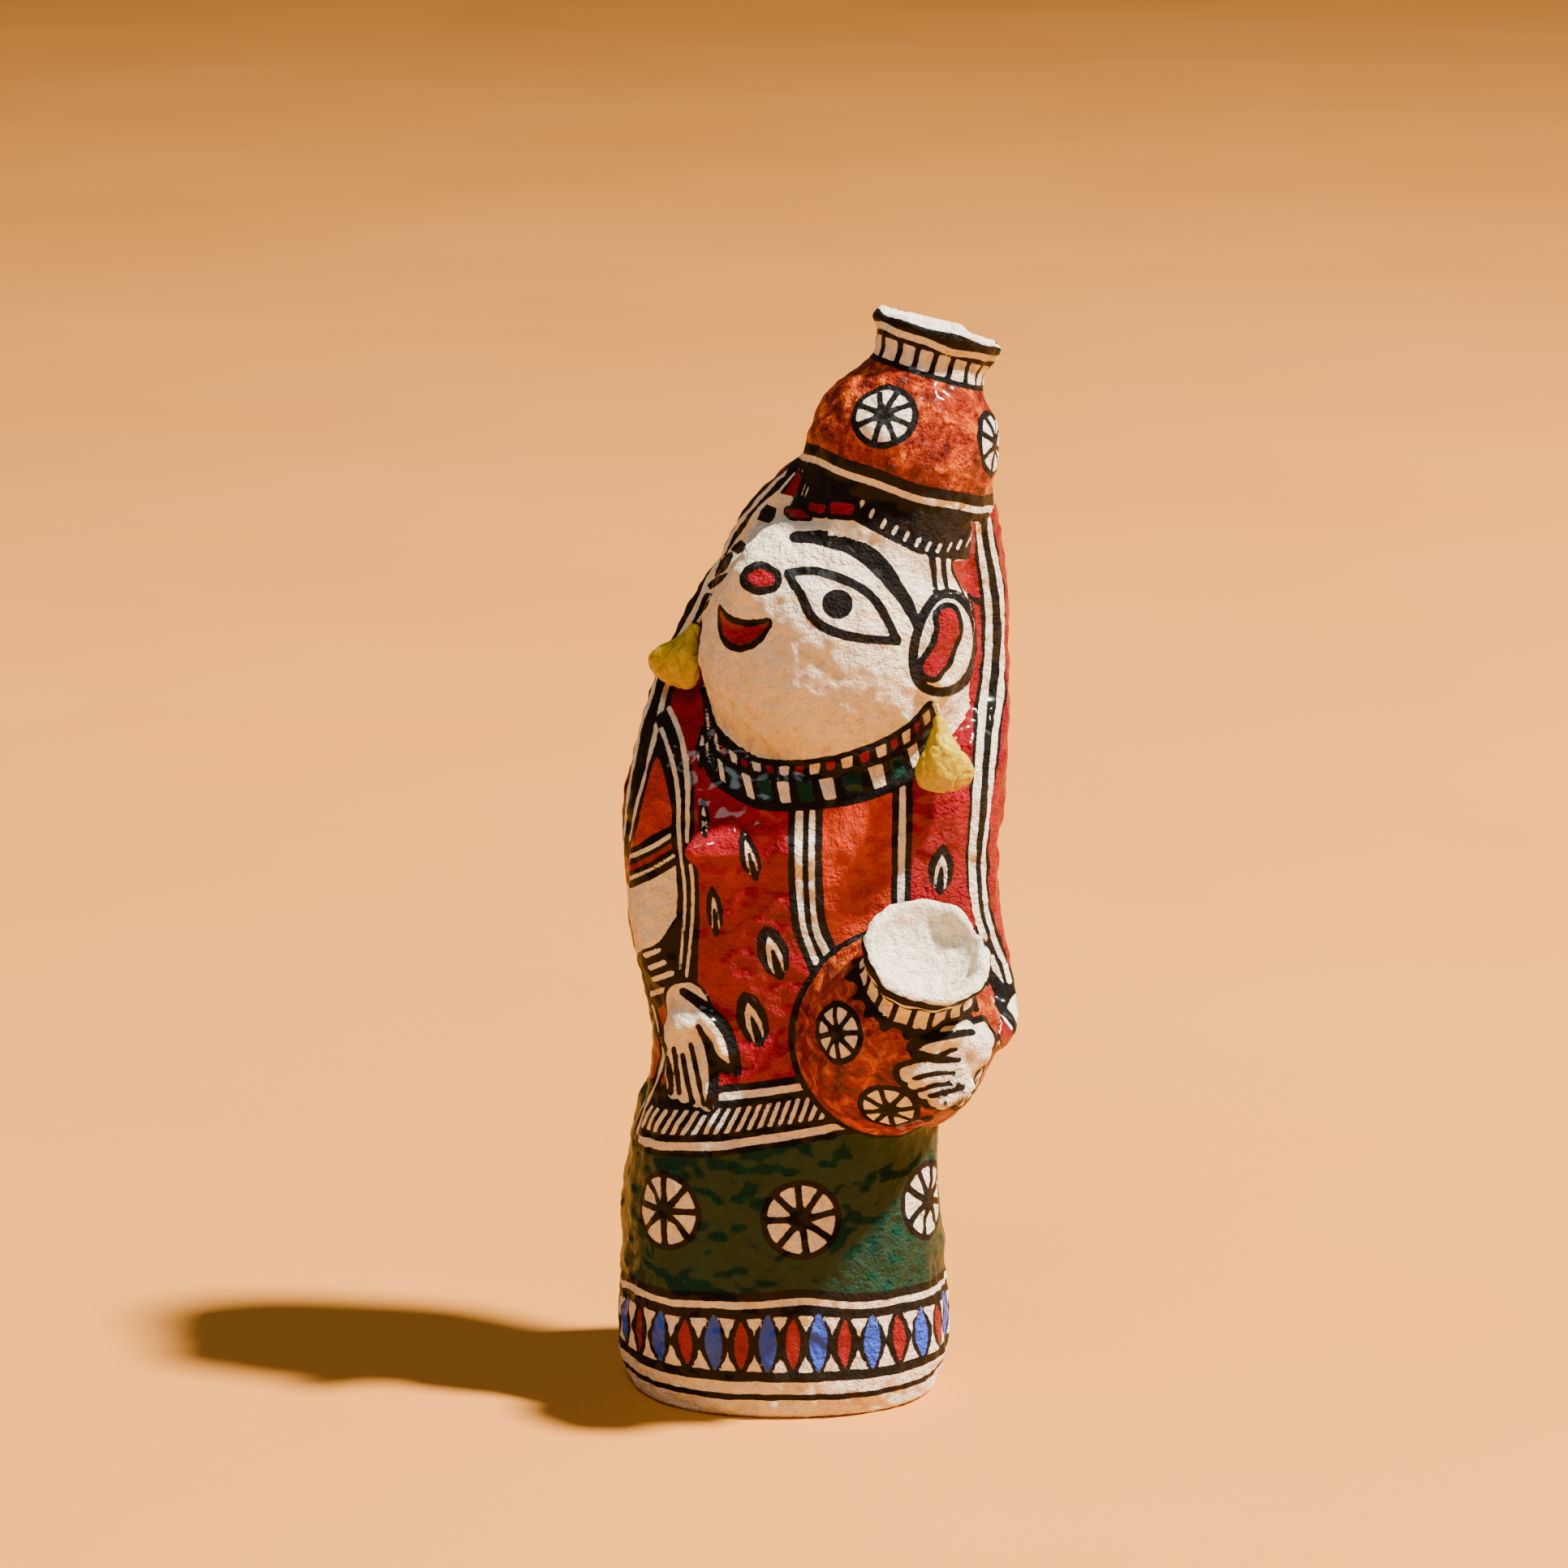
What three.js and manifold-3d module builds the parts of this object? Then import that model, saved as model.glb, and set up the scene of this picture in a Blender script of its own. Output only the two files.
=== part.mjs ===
// A standing papier-mache woman with a water pot on her head and another on her hip, 255 mm tall.
// Millimetres, +Z up, front towards -Y; the origin is the middle of the flat underside.
import * as THREE from 'three';
import { mergeVertices } from 'three/addons/utils/BufferGeometryUtils.js';
import Module from 'manifold-3d';

// Driving dimensions of the body and veil: one row for each height, as
// height, left edge, right edge, front, back, and how far the right edge is turned forward.
const BODY_SECTIONS = [
  [0, -35.6, 36.2, -28.2, 27.6, 0],
  [3.5, -37.9, 38.0, -29.8, 29.0, 0],
  [20, -39.0, 38.8, -30.0, 29.5, 0],
  [40, -38.0, 37.3, -29.2, 28.8, 0],
  [58, -36.6, 35.6, -28.0, 27.0, 0],
  [70, -34.0, 36.5, -25.8, 24.5, 0],
  [82, -30.6, 42.0, -23.8, 21.5, 0],
  [95, -31.5, 49.0, -22.8, 20.0, 0],
  [108, -35.2, 50.8, -22.3, 19.0, 0],
  [125, -37.0, 49.8, -22.0, 18.5, 0],
  [140, -37.2, 50.8, -21.5, 18.5, 0.5],
  [151, -34.8, 52.2, -18.5, 19.5, 1.5],
  [160, -33.0, 52.3, -10.0, 21.5, 3.5],
  [168, -30.5, 52.3, 0.0, 23.5, 5.5],
  [180, -25.0, 52.0, 2.0, 25.5, 6],
  [192, -18.0, 51.7, 1.0, 26.0, 6],
  [203, -12.0, 49.8, -2.0, 25.5, 5],
  [213, -5.5, 48.5, -8.0, 24.5, 2.5],
  [222, 5.5, 47.5, -11.0, 22.5, 0],
  [226, 12, 46, -11.0, 19.5, 0],
];
const BODY_SQUARENESS = 2.25;
const BODY_SIDES = 36;
const BODY_LEVELS = 30;

// The head: a ball pressed flat from front to back, turned to the figure's right and thrown back.
const HEAD_CENTRE = new THREE.Vector3(12.5, -2.5, 179);
const HEAD_RADII = { forward: 31.5, side: 32.5, up: 32 };
const HEAD_PRESS = 0.8;
const HEAD_YAW = THREE.MathUtils.degToRad(49);
const HEAD_PITCH = THREE.MathUtils.degToRad(20.8);
const NOSE = { height: 6.2, halfWidth: 5.5, tip: 7, above: 17, below: 5 };
const CHIN = { height: 1.6, halfWidth: 15, tip: -19, spread: 10 };
const EAR = { turn: 97, lift: 3.6, radii: [3.4, 8.4, 13.2], lean: 3, sunk: 1 };

// Two round water pots with short necks and shallow dished mouths; profiles are radius, height.
const POT_DISH = [[11.8, -1.2], [10, -4.6], [6.5, -7.4], [0, -8.6]];
const HEAD_POT = {
  centre: [27.7, 1.5, 224.5], lean: [0.285, 0.08, 0.95], radius: 22.3,
  neck: 13.4, neckAt: 16.5, rim: 15.2, rimAt: 28.2, dish: 0.85, wobble: 1.2, cone: 0.41,
};
const HIP_POT = {
  centre: [25.9, -20, 90.5], lean: [0.2, -0.6, 0.78], radius: 23,
  neck: 13.2, neckAt: 21.6, rim: 15.2, rimAt: 33.5, dish: 1, wobble: 0.7, cone: 0,
};
const POT_SIDES = 26;
const SHOULDER_STEPS = 5;
const SHOULDER_ROUND = 0.81;
const SHOULDER_STRAIGHT = 0.4;
const LIP_DROP = 2.6;

// The breasts: where each leaves the chest, the way it points, its length and base radius.
const BREASTS = [
  { base: [-8.5, -15, 134], way: [-0.75, -0.65, 0.06], length: 20, radius: 8 },
  { base: [1.5, -15.5, 133.5], way: [-0.12, -0.98, 0.05], length: 9.5, radius: 11 },
];

// Arms and fingers as rounded limbs: the points they pass through and their radius at each.
const RIGHT_ARM = {
  points: [[-24, -6.5, 158], [-28.5, -9.5, 140], [-28.8, -11, 120], [-27.5, -12, 108], [-25, -13.2, 97]],
  radii: [5.5, 6.8, 6.8, 6, 4.6],
};
const RIGHT_HAND = { centre: [-22.4, -16.4, 91.5], radii: [5.6, 3.6, 8], turn: 28 };
const RIGHT_FINGERS = {
  count: 4, root: [-25.8, -14.4, 87], rootStep: [2.5, -1.5, 0.5],
  tip: [-25.2, -16.2, 76], tipStep: [2.55, -1.7, -0.45], radius: 1.9,
};
const RIGHT_THUMB = {
  points: [[-19.8, -18.4, 95], [-15.6, -21, 91.5], [-13.4, -22.2, 85.6]],
  radii: [2.5, 2.3, 1.8],
};
const LEFT_ARM = {
  points: [
    [43.5, -1, 150], [45, -3, 120], [47.8, -5, 102],
    [49.2, -9, 93.5], [49, -21, 91.5], [45.5, -32, 92],
  ],
  radii: [4, 5, 5.4, 5.6, 5.2, 4.8],
};
const LEFT_HAND = { centre: [42.5, -35.2, 92], radii: [6, 5, 5.8], turn: 0 };
const LEFT_FINGERS = {
  count: 4, root: [39.8, -39.2, 92], rootStep: [1, 0.85, -2.6],
  tip: [27.9, -43.8, 88], tipStep: [2.1, 0.7, -2.5], radius: 1.9,
};
const LEFT_THUMB = {
  points: [[41.3, -38.3, 96.2], [36.6, -41.7, 96.4], [31.7, -43.5, 94]],
  radii: [2.5, 2.2, 1.6],
};
const LIMB_ROUNDING = 0.45;
const FINGERTIP_SHARE = 0.8;

// The hair under the pot: a drum on the pot's own axis, from its lower ring down into the head.
const HAIR = { from: -36, to: -6.5, radius: 22.3, waist: 21.2, press: 0.88, round: 12 };

// Earrings: lumpy pears that hang on threads; each has its top, its foot and its sizes.
const EARRING = { neck: 2.1, width: 7.7, depth: 4.6, sides: 18, steps: 16 };
const LEFT_EARRING = { lobe: [34.5, -22.2, 169], top: [35, -22.3, 166.6], foot: [36.6, -22.6, 148.6] };
const RIGHT_EARRING = { lobe: [-17.7, 7.4, 184.8], top: [-20, 5.2, 181.8], foot: [-27, 2, 168.4] };
const THREAD_RADIUS = 0.45;
const TOUCH_GAP = 0.3;

const FIGURE_FINISH = { color: 0xd9cfb8, roughness: 0.62, metalness: 0 };
const EARRING_FINISH = { color: 0xe8c81e, roughness: 0.5, metalness: 0 };
const THREAD_FINISH = { color: 0xcfc6ae, roughness: 0.8, metalness: 0 };

const wasm = await Module();
wasm.setup();

const vector = (list) => new THREE.Vector3(...list);

// The turn that takes the Y axis to the given way.
const turnFromUp = (way) => (
  new THREE.Quaternion().setFromUnitVectors(new THREE.Vector3(0, 1, 0), way.clone().normalize())
);

function toSolid(geometry) {
  const bare = geometry.clone();
  bare.deleteAttribute('normal');
  bare.deleteAttribute('uv');
  const merged = mergeVertices(bare, 1e-4);
  const vertProperties = new Float32Array(merged.attributes.position.array);
  const triVerts = new Uint32Array(merged.index.array);
  return new wasm.Manifold(new wasm.Mesh({ numProp: 3, vertProperties, triVerts }));
}

function toGeometry(solid) {
  const mesh = solid.getMesh();
  const geometry = new THREE.BufferGeometry();
  geometry.setAttribute('position', new THREE.BufferAttribute(new Float32Array(mesh.vertProperties), 3));
  geometry.setIndex(new THREE.BufferAttribute(new Uint32Array(mesh.triVerts), 1));
  geometry.computeVertexNormals();
  return geometry;
}

// Moves each vertex of a geometry to the place that a function gives for it.
function warp(geometry, place) {
  const positions = geometry.attributes.position;
  const point = new THREE.Vector3();
  for (let i = 0; i < positions.count; i += 1) {
    point.fromBufferAttribute(positions, i);
    const moved = place(point);
    positions.setXYZ(i, moved.x, moved.y, moved.z);
  }
  return geometry;
}

// A round bump of height 1 at 0 that dies away over the given spread.
const bump = (distance, spread) => Math.exp(-((distance / spread) ** 2));

function makeBody() {
  const heights = BODY_SECTIONS.map((row) => row[0]);
  const edges = new THREE.CubicInterpolant(heights, BODY_SECTIONS.flatMap((row) => row.slice(1)), 5);
  const top = heights[heights.length - 1];
  const power = 2 / BODY_SQUARENESS;
  const squared = (value) => Math.sign(value) * Math.abs(value) ** power;
  const geometry = new THREE.CylinderGeometry(1, 1, top, BODY_SIDES, BODY_LEVELS);
  return warp(geometry, (point) => {
    const height = point.y + top / 2;
    const [left, right, front, back, turn] = edges.evaluate(height);
    const reach = Math.hypot(point.x, point.z);
    const angle = Math.atan2(-point.z, point.x);
    const across = reach * squared(Math.cos(angle));
    const deep = reach * squared(Math.sin(angle));
    return new THREE.Vector3(
      (left + right) / 2 + across * (right - left) / 2,
      (front + back) / 2 + deep * (back - front) / 2 - across * turn * (1 - deep) / 2,
      height,
    );
  });
}

const HEAD_SIDE = new THREE.Vector3(Math.cos(HEAD_YAW), -Math.sin(HEAD_YAW), 0);
const HEAD_FORWARD = new THREE.Vector3(
  -Math.sin(HEAD_YAW) * Math.cos(HEAD_PITCH),
  -Math.cos(HEAD_YAW) * Math.cos(HEAD_PITCH),
  Math.sin(HEAD_PITCH),
);
const HEAD_UP = new THREE.Vector3().crossVectors(HEAD_SIDE, HEAD_FORWARD).negate();

// Takes head measures (forward, to the figure's left, up) to the figure's own frame.
function headPlace(forward, side, up) {
  const point = new THREE.Vector3()
    .addScaledVector(HEAD_FORWARD, forward)
    .addScaledVector(HEAD_SIDE, side)
    .addScaledVector(HEAD_UP, up);
  point.y *= HEAD_PRESS;
  return point.add(HEAD_CENTRE);
}

function makeHead() {
  return warp(new THREE.SphereGeometry(1, 34, 22), (point) => {
    const forward = point.z * HEAD_RADII.forward;
    const side = point.x * HEAD_RADII.side;
    const up = point.y * HEAD_RADII.up;
    const facing = THREE.MathUtils.smoothstep(point.z, 0, 0.5);
    const along = up > NOSE.tip ? NOSE.above : NOSE.below;
    const nose = NOSE.height * bump(side, NOSE.halfWidth) * bump(up - NOSE.tip, along);
    const chin = CHIN.height * bump(side, CHIN.halfWidth) * bump(up - CHIN.tip, CHIN.spread);
    return headPlace(forward + facing * (nose + chin), side, up);
  });
}

function makeEar(sign) {
  const turn = THREE.MathUtils.degToRad(EAR.turn);
  const lean = THREE.MathUtils.degToRad(EAR.lean);
  const [thick, wide, tall] = EAR.radii;
  return warp(new THREE.SphereGeometry(1, 14, 9), (point) => {
    const out = point.z * thick + HEAD_RADII.side - EAR.sunk;
    const across = point.x * wide * Math.cos(lean) - point.y * tall * Math.sin(lean);
    const up = point.x * wide * Math.sin(lean) + point.y * tall * Math.cos(lean);
    const forward = out * Math.cos(turn) - across * Math.sin(turn);
    const side = out * Math.sin(turn) + across * Math.cos(turn);
    return headPlace(forward, sign * side, up + EAR.lift);
  });
}

// A limb with rounded ends along a smooth curve through its points.
function makeLimb({ points, radii }, sides = 10, steps = 10) {
  const path = new THREE.CatmullRomCurve3(points.map(vector));
  const shares = radii.map((_, i) => i / (radii.length - 1));
  const thickness = new THREE.CubicInterpolant(shares, radii, 1);
  const frames = path.computeFrenetFrames(steps * 4);
  return warp(new THREE.SphereGeometry(1, sides, steps), (point) => {
    const along = (1 - point.y) / 2;
    const ring = Math.hypot(point.x, point.z);
    const radius = ring > 1e-6 ? thickness.evaluate(along)[0] * ring ** -LIMB_ROUNDING : 0;
    const frame = Math.round(along * steps * 4);
    return path.getPoint(along)
      .addScaledVector(frames.normals[frame], point.x * radius)
      .addScaledVector(frames.binormals[frame], point.z * radius);
  });
}

function makeFingers({ count, root, rootStep, tip, tipStep, radius }) {
  return Array.from({ length: count }, (_, i) => {
    const from = vector(root).addScaledVector(vector(rootStep), i);
    const to = vector(tip).addScaledVector(vector(tipStep), i);
    const middle = from.clone().lerp(to, 0.5);
    const points = [from, middle, to].map((point) => point.toArray());
    return makeLimb({ points, radii: [radius, radius, radius * FINGERTIP_SHARE] }, 8, 6);
  });
}

function makeHandBack({ centre, radii, turn }) {
  const angle = THREE.MathUtils.degToRad(turn);
  return new THREE.SphereGeometry(1, 12, 8)
    .scale(...radii)
    .rotateY(angle)
    .translate(...centre);
}

function makeBreast({ base, way, length, radius }) {
  const cone = warp(new THREE.SphereGeometry(1, 16, 10), (point) => {
    const width = radius * (point.y > 0 ? (1 - point.y) ** 0.35 : 1);
    return new THREE.Vector3(point.x * width, point.y * length, point.z * width);
  });
  return cone.applyQuaternion(turnFromUp(vector(way))).translate(...base);
}

// A pot's outline from the bottom of the belly to the rim and down into the dished mouth.
// cone 0 gives a round shoulder up to the neck and cone 1 a straight one.
function potOutline(pot) {
  const lower = Array.from({ length: SHOULDER_STEPS + 1 }, (_, i) => {
    const angle = (Math.PI / 2) * (i / SHOULDER_STEPS - 1);
    return [pot.radius * Math.cos(angle), pot.radius * Math.sin(angle)];
  });
  const upper = Array.from({ length: SHOULDER_STEPS }, (_, i) => {
    const share = (i + 1) / SHOULDER_STEPS;
    const round = Math.sqrt(1 - (share * SHOULDER_ROUND) ** 2);
    const straight = 1 - share * SHOULDER_STRAIGHT;
    const reach = pot.radius * (round + (straight - round) * pot.cone);
    return [Math.max(reach, pot.neck), pot.neckAt * share];
  });
  const rise = pot.rimAt - pot.neckAt;
  const neck = [
    [pot.neck - 0.5, pot.neckAt + rise * 0.3],
    [pot.rim - 1, pot.neckAt + rise * 0.62],
    [pot.rim, pot.rimAt - LIP_DROP],
    [pot.rim, pot.rimAt - LIP_DROP * 0.46],
    [pot.rim - LIP_DROP * 0.42, pot.rimAt - 0.1],
    [pot.rim - LIP_DROP * 1.08, pot.rimAt],
  ];
  const dish = POT_DISH.map(([radius, depth]) => [radius, pot.rimAt + depth * pot.dish]);
  return [...lower, ...upper, ...neck, ...dish].map(([x, y]) => new THREE.Vector2(x, y));
}

// Stands a shape made about the Y axis on a pot's centre, leaning as the pot does.
function standPot(geometry, pot) {
  return geometry.applyQuaternion(turnFromUp(vector(pot.lean))).translate(...pot.centre);
}

function makePot(pot) {
  const outline = potOutline(pot);
  outline[0].x = 0;
  const lathe = warp(new THREE.LatheGeometry(outline, POT_SIDES), (point) => {
    const angle = Math.atan2(point.z, point.x);
    const share = THREE.MathUtils.smoothstep(point.y, pot.neckAt, pot.rimAt);
    const waver = pot.wobble * share * (Math.sin(2 * angle + 0.6) + 0.5 * Math.sin(5 * angle)) / 1.5;
    const edge = Math.min(1, Math.hypot(point.x, point.z) / pot.neck);
    return new THREE.Vector3(point.x, point.y + waver * edge, point.z);
  });
  return standPot(lathe, pot);
}

function makeHair() {
  const { from, to, radius, waist, round } = HAIR;
  const outline = [
    [0, from],
    [radius - round / 2, from],
    [radius, from + round],
    [waist, to - round / 2],
    [radius, to],
    [0, to + round / 3],
  ];
  const drum = new THREE.LatheGeometry(outline.map(([x, y]) => new THREE.Vector2(x, y)), POT_SIDES);
  drum.scale(1, 1, HAIR.press);
  return standPot(drum, HEAD_POT);
}

// A pear with a lumpy wide foot, pressed from front to back.
function makeEarring({ top, foot }) {
  const length = vector(foot).distanceTo(vector(top));
  const down = vector(foot).sub(vector(top)).normalize();
  const turn = new THREE.Quaternion().setFromUnitVectors(new THREE.Vector3(0, -1, 0), down);
  const pear = warp(new THREE.SphereGeometry(1, EARRING.sides, EARRING.steps), (point) => {
    const along = (1 - point.y) / 2;
    const ring = Math.hypot(point.x, point.z);
    const share = THREE.MathUtils.smoothstep(along, 0.12, 0.86);
    const widen = THREE.MathUtils.lerp(EARRING.neck, EARRING.width, share);
    const full = ring > 1e-6 ? ring ** -0.5 : 0;
    const lump = 1 + 0.05 * Math.sin(3 * Math.atan2(point.z, point.x) + 9 * along);
    return new THREE.Vector3(
      point.x * full * widen * lump,
      -along * length,
      point.z * full * Math.min(widen * lump, EARRING.depth),
    );
  });
  return pear.applyQuaternion(turn).translate(...top);
}

// A short thread from just under an earlobe down to just above an earring's top.
function makeThread({ lobe, top }) {
  const start = vector(lobe);
  const end = vector(top);
  const length = start.distanceTo(end) - TOUCH_GAP;
  const turn = turnFromUp(end.sub(start));
  return new THREE.CylinderGeometry(THREAD_RADIUS, THREAD_RADIUS, length, 8)
    .translate(0, length / 2, 0)
    .applyQuaternion(turn)
    .translate(...start.toArray());
}

function makeFigure() {
  const pieces = [
    makeBody(), makeHead(), makeEar(1), makeEar(-1), makeHair(), makePot(HEAD_POT), makePot(HIP_POT),
    ...BREASTS.map(makeBreast),
    makeLimb(RIGHT_ARM, 12, 14), makeHandBack(RIGHT_HAND),
    ...makeFingers(RIGHT_FINGERS), makeLimb(RIGHT_THUMB),
    makeLimb(LEFT_ARM, 12, 14), makeHandBack(LEFT_HAND),
    ...makeFingers(LEFT_FINGERS), makeLimb(LEFT_THUMB),
  ].map(toSolid);
  const joined = pieces.reduce((whole, piece) => whole.add(piece));
  const shells = joined.decompose();
  return toGeometry(shells.reduce((outer, shell) => (shell.volume() > outer.volume() ? shell : outer)));
}

function addPiece(group, name, geometry, finish) {
  const mesh = new THREE.Mesh(geometry, new THREE.MeshStandardMaterial(finish));
  mesh.name = name;
  group.add(mesh);
}

const group = new THREE.Group();
addPiece(group, 'figure', makeFigure(), FIGURE_FINISH);
addPiece(group, 'left_earring', makeEarring(LEFT_EARRING), EARRING_FINISH);
addPiece(group, 'right_earring', makeEarring(RIGHT_EARRING), EARRING_FINISH);
addPiece(group, 'left_earring_thread', makeThread(LEFT_EARRING), THREAD_FINISH);
addPiece(group, 'right_earring_thread', makeThread(RIGHT_EARRING), THREAD_FINISH);

export default group;
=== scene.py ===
import math

import bmesh
import bpy
import numpy as np
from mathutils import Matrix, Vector, noise
from mathutils.bvhtree import BVHTree
from mathutils.kdtree import KDTree


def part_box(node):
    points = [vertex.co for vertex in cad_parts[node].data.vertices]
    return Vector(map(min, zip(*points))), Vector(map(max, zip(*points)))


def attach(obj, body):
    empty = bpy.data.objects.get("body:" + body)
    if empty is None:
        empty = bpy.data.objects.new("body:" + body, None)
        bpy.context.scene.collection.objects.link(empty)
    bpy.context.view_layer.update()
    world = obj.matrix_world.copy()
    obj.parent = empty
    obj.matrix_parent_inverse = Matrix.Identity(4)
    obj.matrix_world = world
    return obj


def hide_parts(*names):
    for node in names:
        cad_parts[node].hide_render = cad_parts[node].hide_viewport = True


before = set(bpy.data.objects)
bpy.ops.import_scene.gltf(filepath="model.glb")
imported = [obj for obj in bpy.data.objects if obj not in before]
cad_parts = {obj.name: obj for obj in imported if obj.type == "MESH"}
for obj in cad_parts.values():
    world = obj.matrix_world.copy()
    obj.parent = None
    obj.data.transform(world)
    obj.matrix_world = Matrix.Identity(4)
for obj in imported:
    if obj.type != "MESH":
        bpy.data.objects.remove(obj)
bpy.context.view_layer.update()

# A painted papier-mache woman with a pot on her head and a pot on her hip.
# Sizes are in millimetres unless a name says otherwise, in the part's own frame.
MM = 0.001

# The head: a ball pressed from front to back, turned to the figure's right and thrown back.
HEAD_CENTRE = np.array([12.5, -2.5, 179.0])
HEAD_RADII = np.array([31.5, 32.5, 32.0])
HEAD_PRESS = 0.8
HEAD_YAW = math.radians(49)
HEAD_PITCH = math.radians(20.8)
EAR_TURN = math.radians(97)
EAR_LIFT = 3.6
EAR_SIZES = np.array([3.4, 8.4, 13.2])
EAR_LEAN = math.radians(3)
EAR_OUT = HEAD_RADII[1] - 1

# The two pots: heights are along the leaning axis, from the middle of the belly.
HEAD_POT = {"centre": (27.7, 1.5, 224.5), "lean": (0.285, 0.08, 0.95), "radius": 22.3, "neck": 13.4,
            "neck_at": 16.5, "rim": 15.2, "rim_at": 28.2}
HIP_POT = {"centre": (25.9, -20.0, 90.5), "lean": (0.2, -0.6, 0.78), "radius": 23.0, "neck": 13.2,
           "neck_at": 21.6, "rim": 15.2, "rim_at": 33.5}
HIP_POT_PRESS = 2.4
BREAST_TIPS = ((-21.5, -25.5, 135.0), (0.2, -25.0, 134.5))

# Limbs as the points they pass through and their radius at each.
RIGHT_HAND = [((-22.4, -16.4, 96.5), (-22.4, -16.4, 88.0)), (5.0, 4.6)]
RIGHT_FINGERS = {"root": (-25.8, -14.4, 87), "root_step": (2.5, -1.5, 0.5),
                 "tip": (-25.2, -16.2, 76), "tip_step": (2.55, -1.7, -0.45)}
RIGHT_THUMB = [((-19.8, -18.4, 95), (-15.6, -21, 91.5), (-13.4, -22.2, 85.6)), (2.5, 2.3, 1.8)]
LEFT_HAND = [((44.5, -34.6, 92), (40.5, -36.2, 92)), (5.2, 5.0)]
LEFT_FINGERS = {"root": (39.8, -39.2, 92), "root_step": (1, 0.85, -2.6),
                "tip": (27.9, -43.8, 88), "tip_step": (2.1, 0.7, -2.5)}
LEFT_THUMB = [((41.3, -38.3, 96.2), (36.6, -41.7, 96.4), (31.7, -43.5, 94)), (2.5, 2.2, 1.6)]
FINGER_COUNT = 4
FINGER_RADIUS = 1.9
LIMB_STEP = 0.8

# How finely the pulp surface is worked.
ROUGH_CELL = 0.9
FINE_CELL = 0.66
SMOOTHING_ROUNDS = 24
SOFTNESS = 0.5
DETAIL_KEPT = 0.85
EARRING_CELL = 0.35
FLAT_BELOW = 0.25
LUMPS = ((17.0, 0.8), (8.0, 0.62), (4.2, 0.52), (2.5, 0.36))
CUT_HEIGHTS = (61.0, 146.0)
PIECE_NAMES = ("figure_skirt", "figure_chest", "figure_head")

# The photograph's frame: its side in pixels, the lens, and the pixel where the base's middle lies.
FRAME_SIDE = 1932
LENS = 120.0
SENSOR = 36.0
EYE_DISTANCE = 1250.0
EYE_LIFT = math.radians(20)
BASE_PIXEL = (966, 1697)
FOCAL = LENS / SENSOR * FRAME_SIDE
EYE = np.array([0.0, -EYE_DISTANCE * math.cos(EYE_LIFT), EYE_DISTANCE * math.sin(EYE_LIFT)])
LOOK_DOWN = EYE_LIFT - math.atan((BASE_PIXEL[1] - FRAME_SIDE / 2) / FOCAL)
AHEAD = np.array([0.0, math.cos(LOOK_DOWN), -math.sin(LOOK_DOWN)])
UPWARD = np.array([0.0, math.sin(LOOK_DOWN), math.cos(LOOK_DOWN)])
ASIDE = np.array([1.0, 0.0, 0.0])


def unit(vector):
    vector = np.asarray(vector, float)
    return vector / np.linalg.norm(vector)


def link(thing):
    bpy.context.scene.collection.objects.link(thing)
    return thing


def make_camera():
    data = bpy.data.cameras.new("camera")
    data.lens = LENS
    data.sensor_width = SENSOR
    data.clip_end = 100
    camera = link(bpy.data.objects.new("camera", data))
    camera.location = EYE * MM
    camera.rotation_euler = (math.pi / 2 - LOOK_DOWN, 0, 0)
    bpy.context.scene.camera = camera


def make_light(name, way, distance, size, watts, colour):
    """An area light that shines on the figure's middle from the given way, in metres and watts."""
    data = bpy.data.lights.new(name, "AREA")
    data.shape = "DISK"
    data.size = size
    data.energy = watts
    data.color = colour
    lamp = link(bpy.data.objects.new(name, data))
    middle = Vector((0, 0, 0.12))
    lamp.location = middle + Vector(unit(way)) * distance
    lamp.rotation_euler = (lamp.location - middle).to_track_quat("Z", "Y").to_euler()


def make_lights():
    key_lift = math.radians(56)
    make_light("key", (math.cos(key_lift), -0.12, math.sin(key_lift)), 3.4, 0.26, 640, (1.0, 0.94, 0.83))
    make_light("top_soft", (-0.35, -0.8, 1.25), 1.8, 0.7, 10, (0.88, 0.96, 1.0))
    world = bpy.data.worlds.new("studio")
    world.use_nodes = True
    world.node_tree.nodes["Background"].inputs["Color"].default_value = (1.0, 0.84, 0.66, 1)
    world.node_tree.nodes["Background"].inputs["Strength"].default_value = 0.10
    bpy.context.scene.world = world


make_camera()
make_lights()


# Meshes as arrays of points and triangles.
def mesh_points(mesh):
    points = np.empty(len(mesh.vertices) * 3)
    mesh.vertices.foreach_get("co", points)
    return points.reshape(-1, 3) / MM


def set_points(mesh, points):
    mesh.vertices.foreach_set("co", (points * MM).ravel())
    mesh.update()


def mesh_normals(mesh):
    normals = np.empty(len(mesh.vertices) * 3)
    mesh.vertex_normals.foreach_get("vector", normals)
    return normals.reshape(-1, 3)


def mesh_edges(mesh):
    edges = np.empty(len(mesh.edges) * 2, int)
    mesh.edges.foreach_get("vertices", edges)
    return edges.reshape(-1, 2)


def remeshed(mesh, cell):
    """The outer skin of a mesh, rebuilt from small cells of the given size."""
    worker = link(bpy.data.objects.new("worker", mesh))
    voxels = worker.modifiers.new("voxels", "REMESH")
    voxels.mode = "VOXEL"
    voxels.voxel_size = cell * MM
    graph = bpy.context.evaluated_depsgraph_get()
    skin = bpy.data.meshes.new_from_object(worker.evaluated_get(graph))
    bpy.data.objects.remove(worker)
    return skin


def smooth(points, edges, rounds, amount):
    """Moves each point towards the mean of its neighbours, by its own amount."""
    first, second = edges.T
    size = len(points)
    neighbours = np.bincount(first, minlength=size) + np.bincount(second, minlength=size)
    for _ in range(rounds):
        for axis in range(3):
            value = points[:, axis]
            total = np.bincount(first, value[second], size) + np.bincount(second, value[first], size)
            points[:, axis] = value + amount * (total / neighbours - value)
    return points


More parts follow.
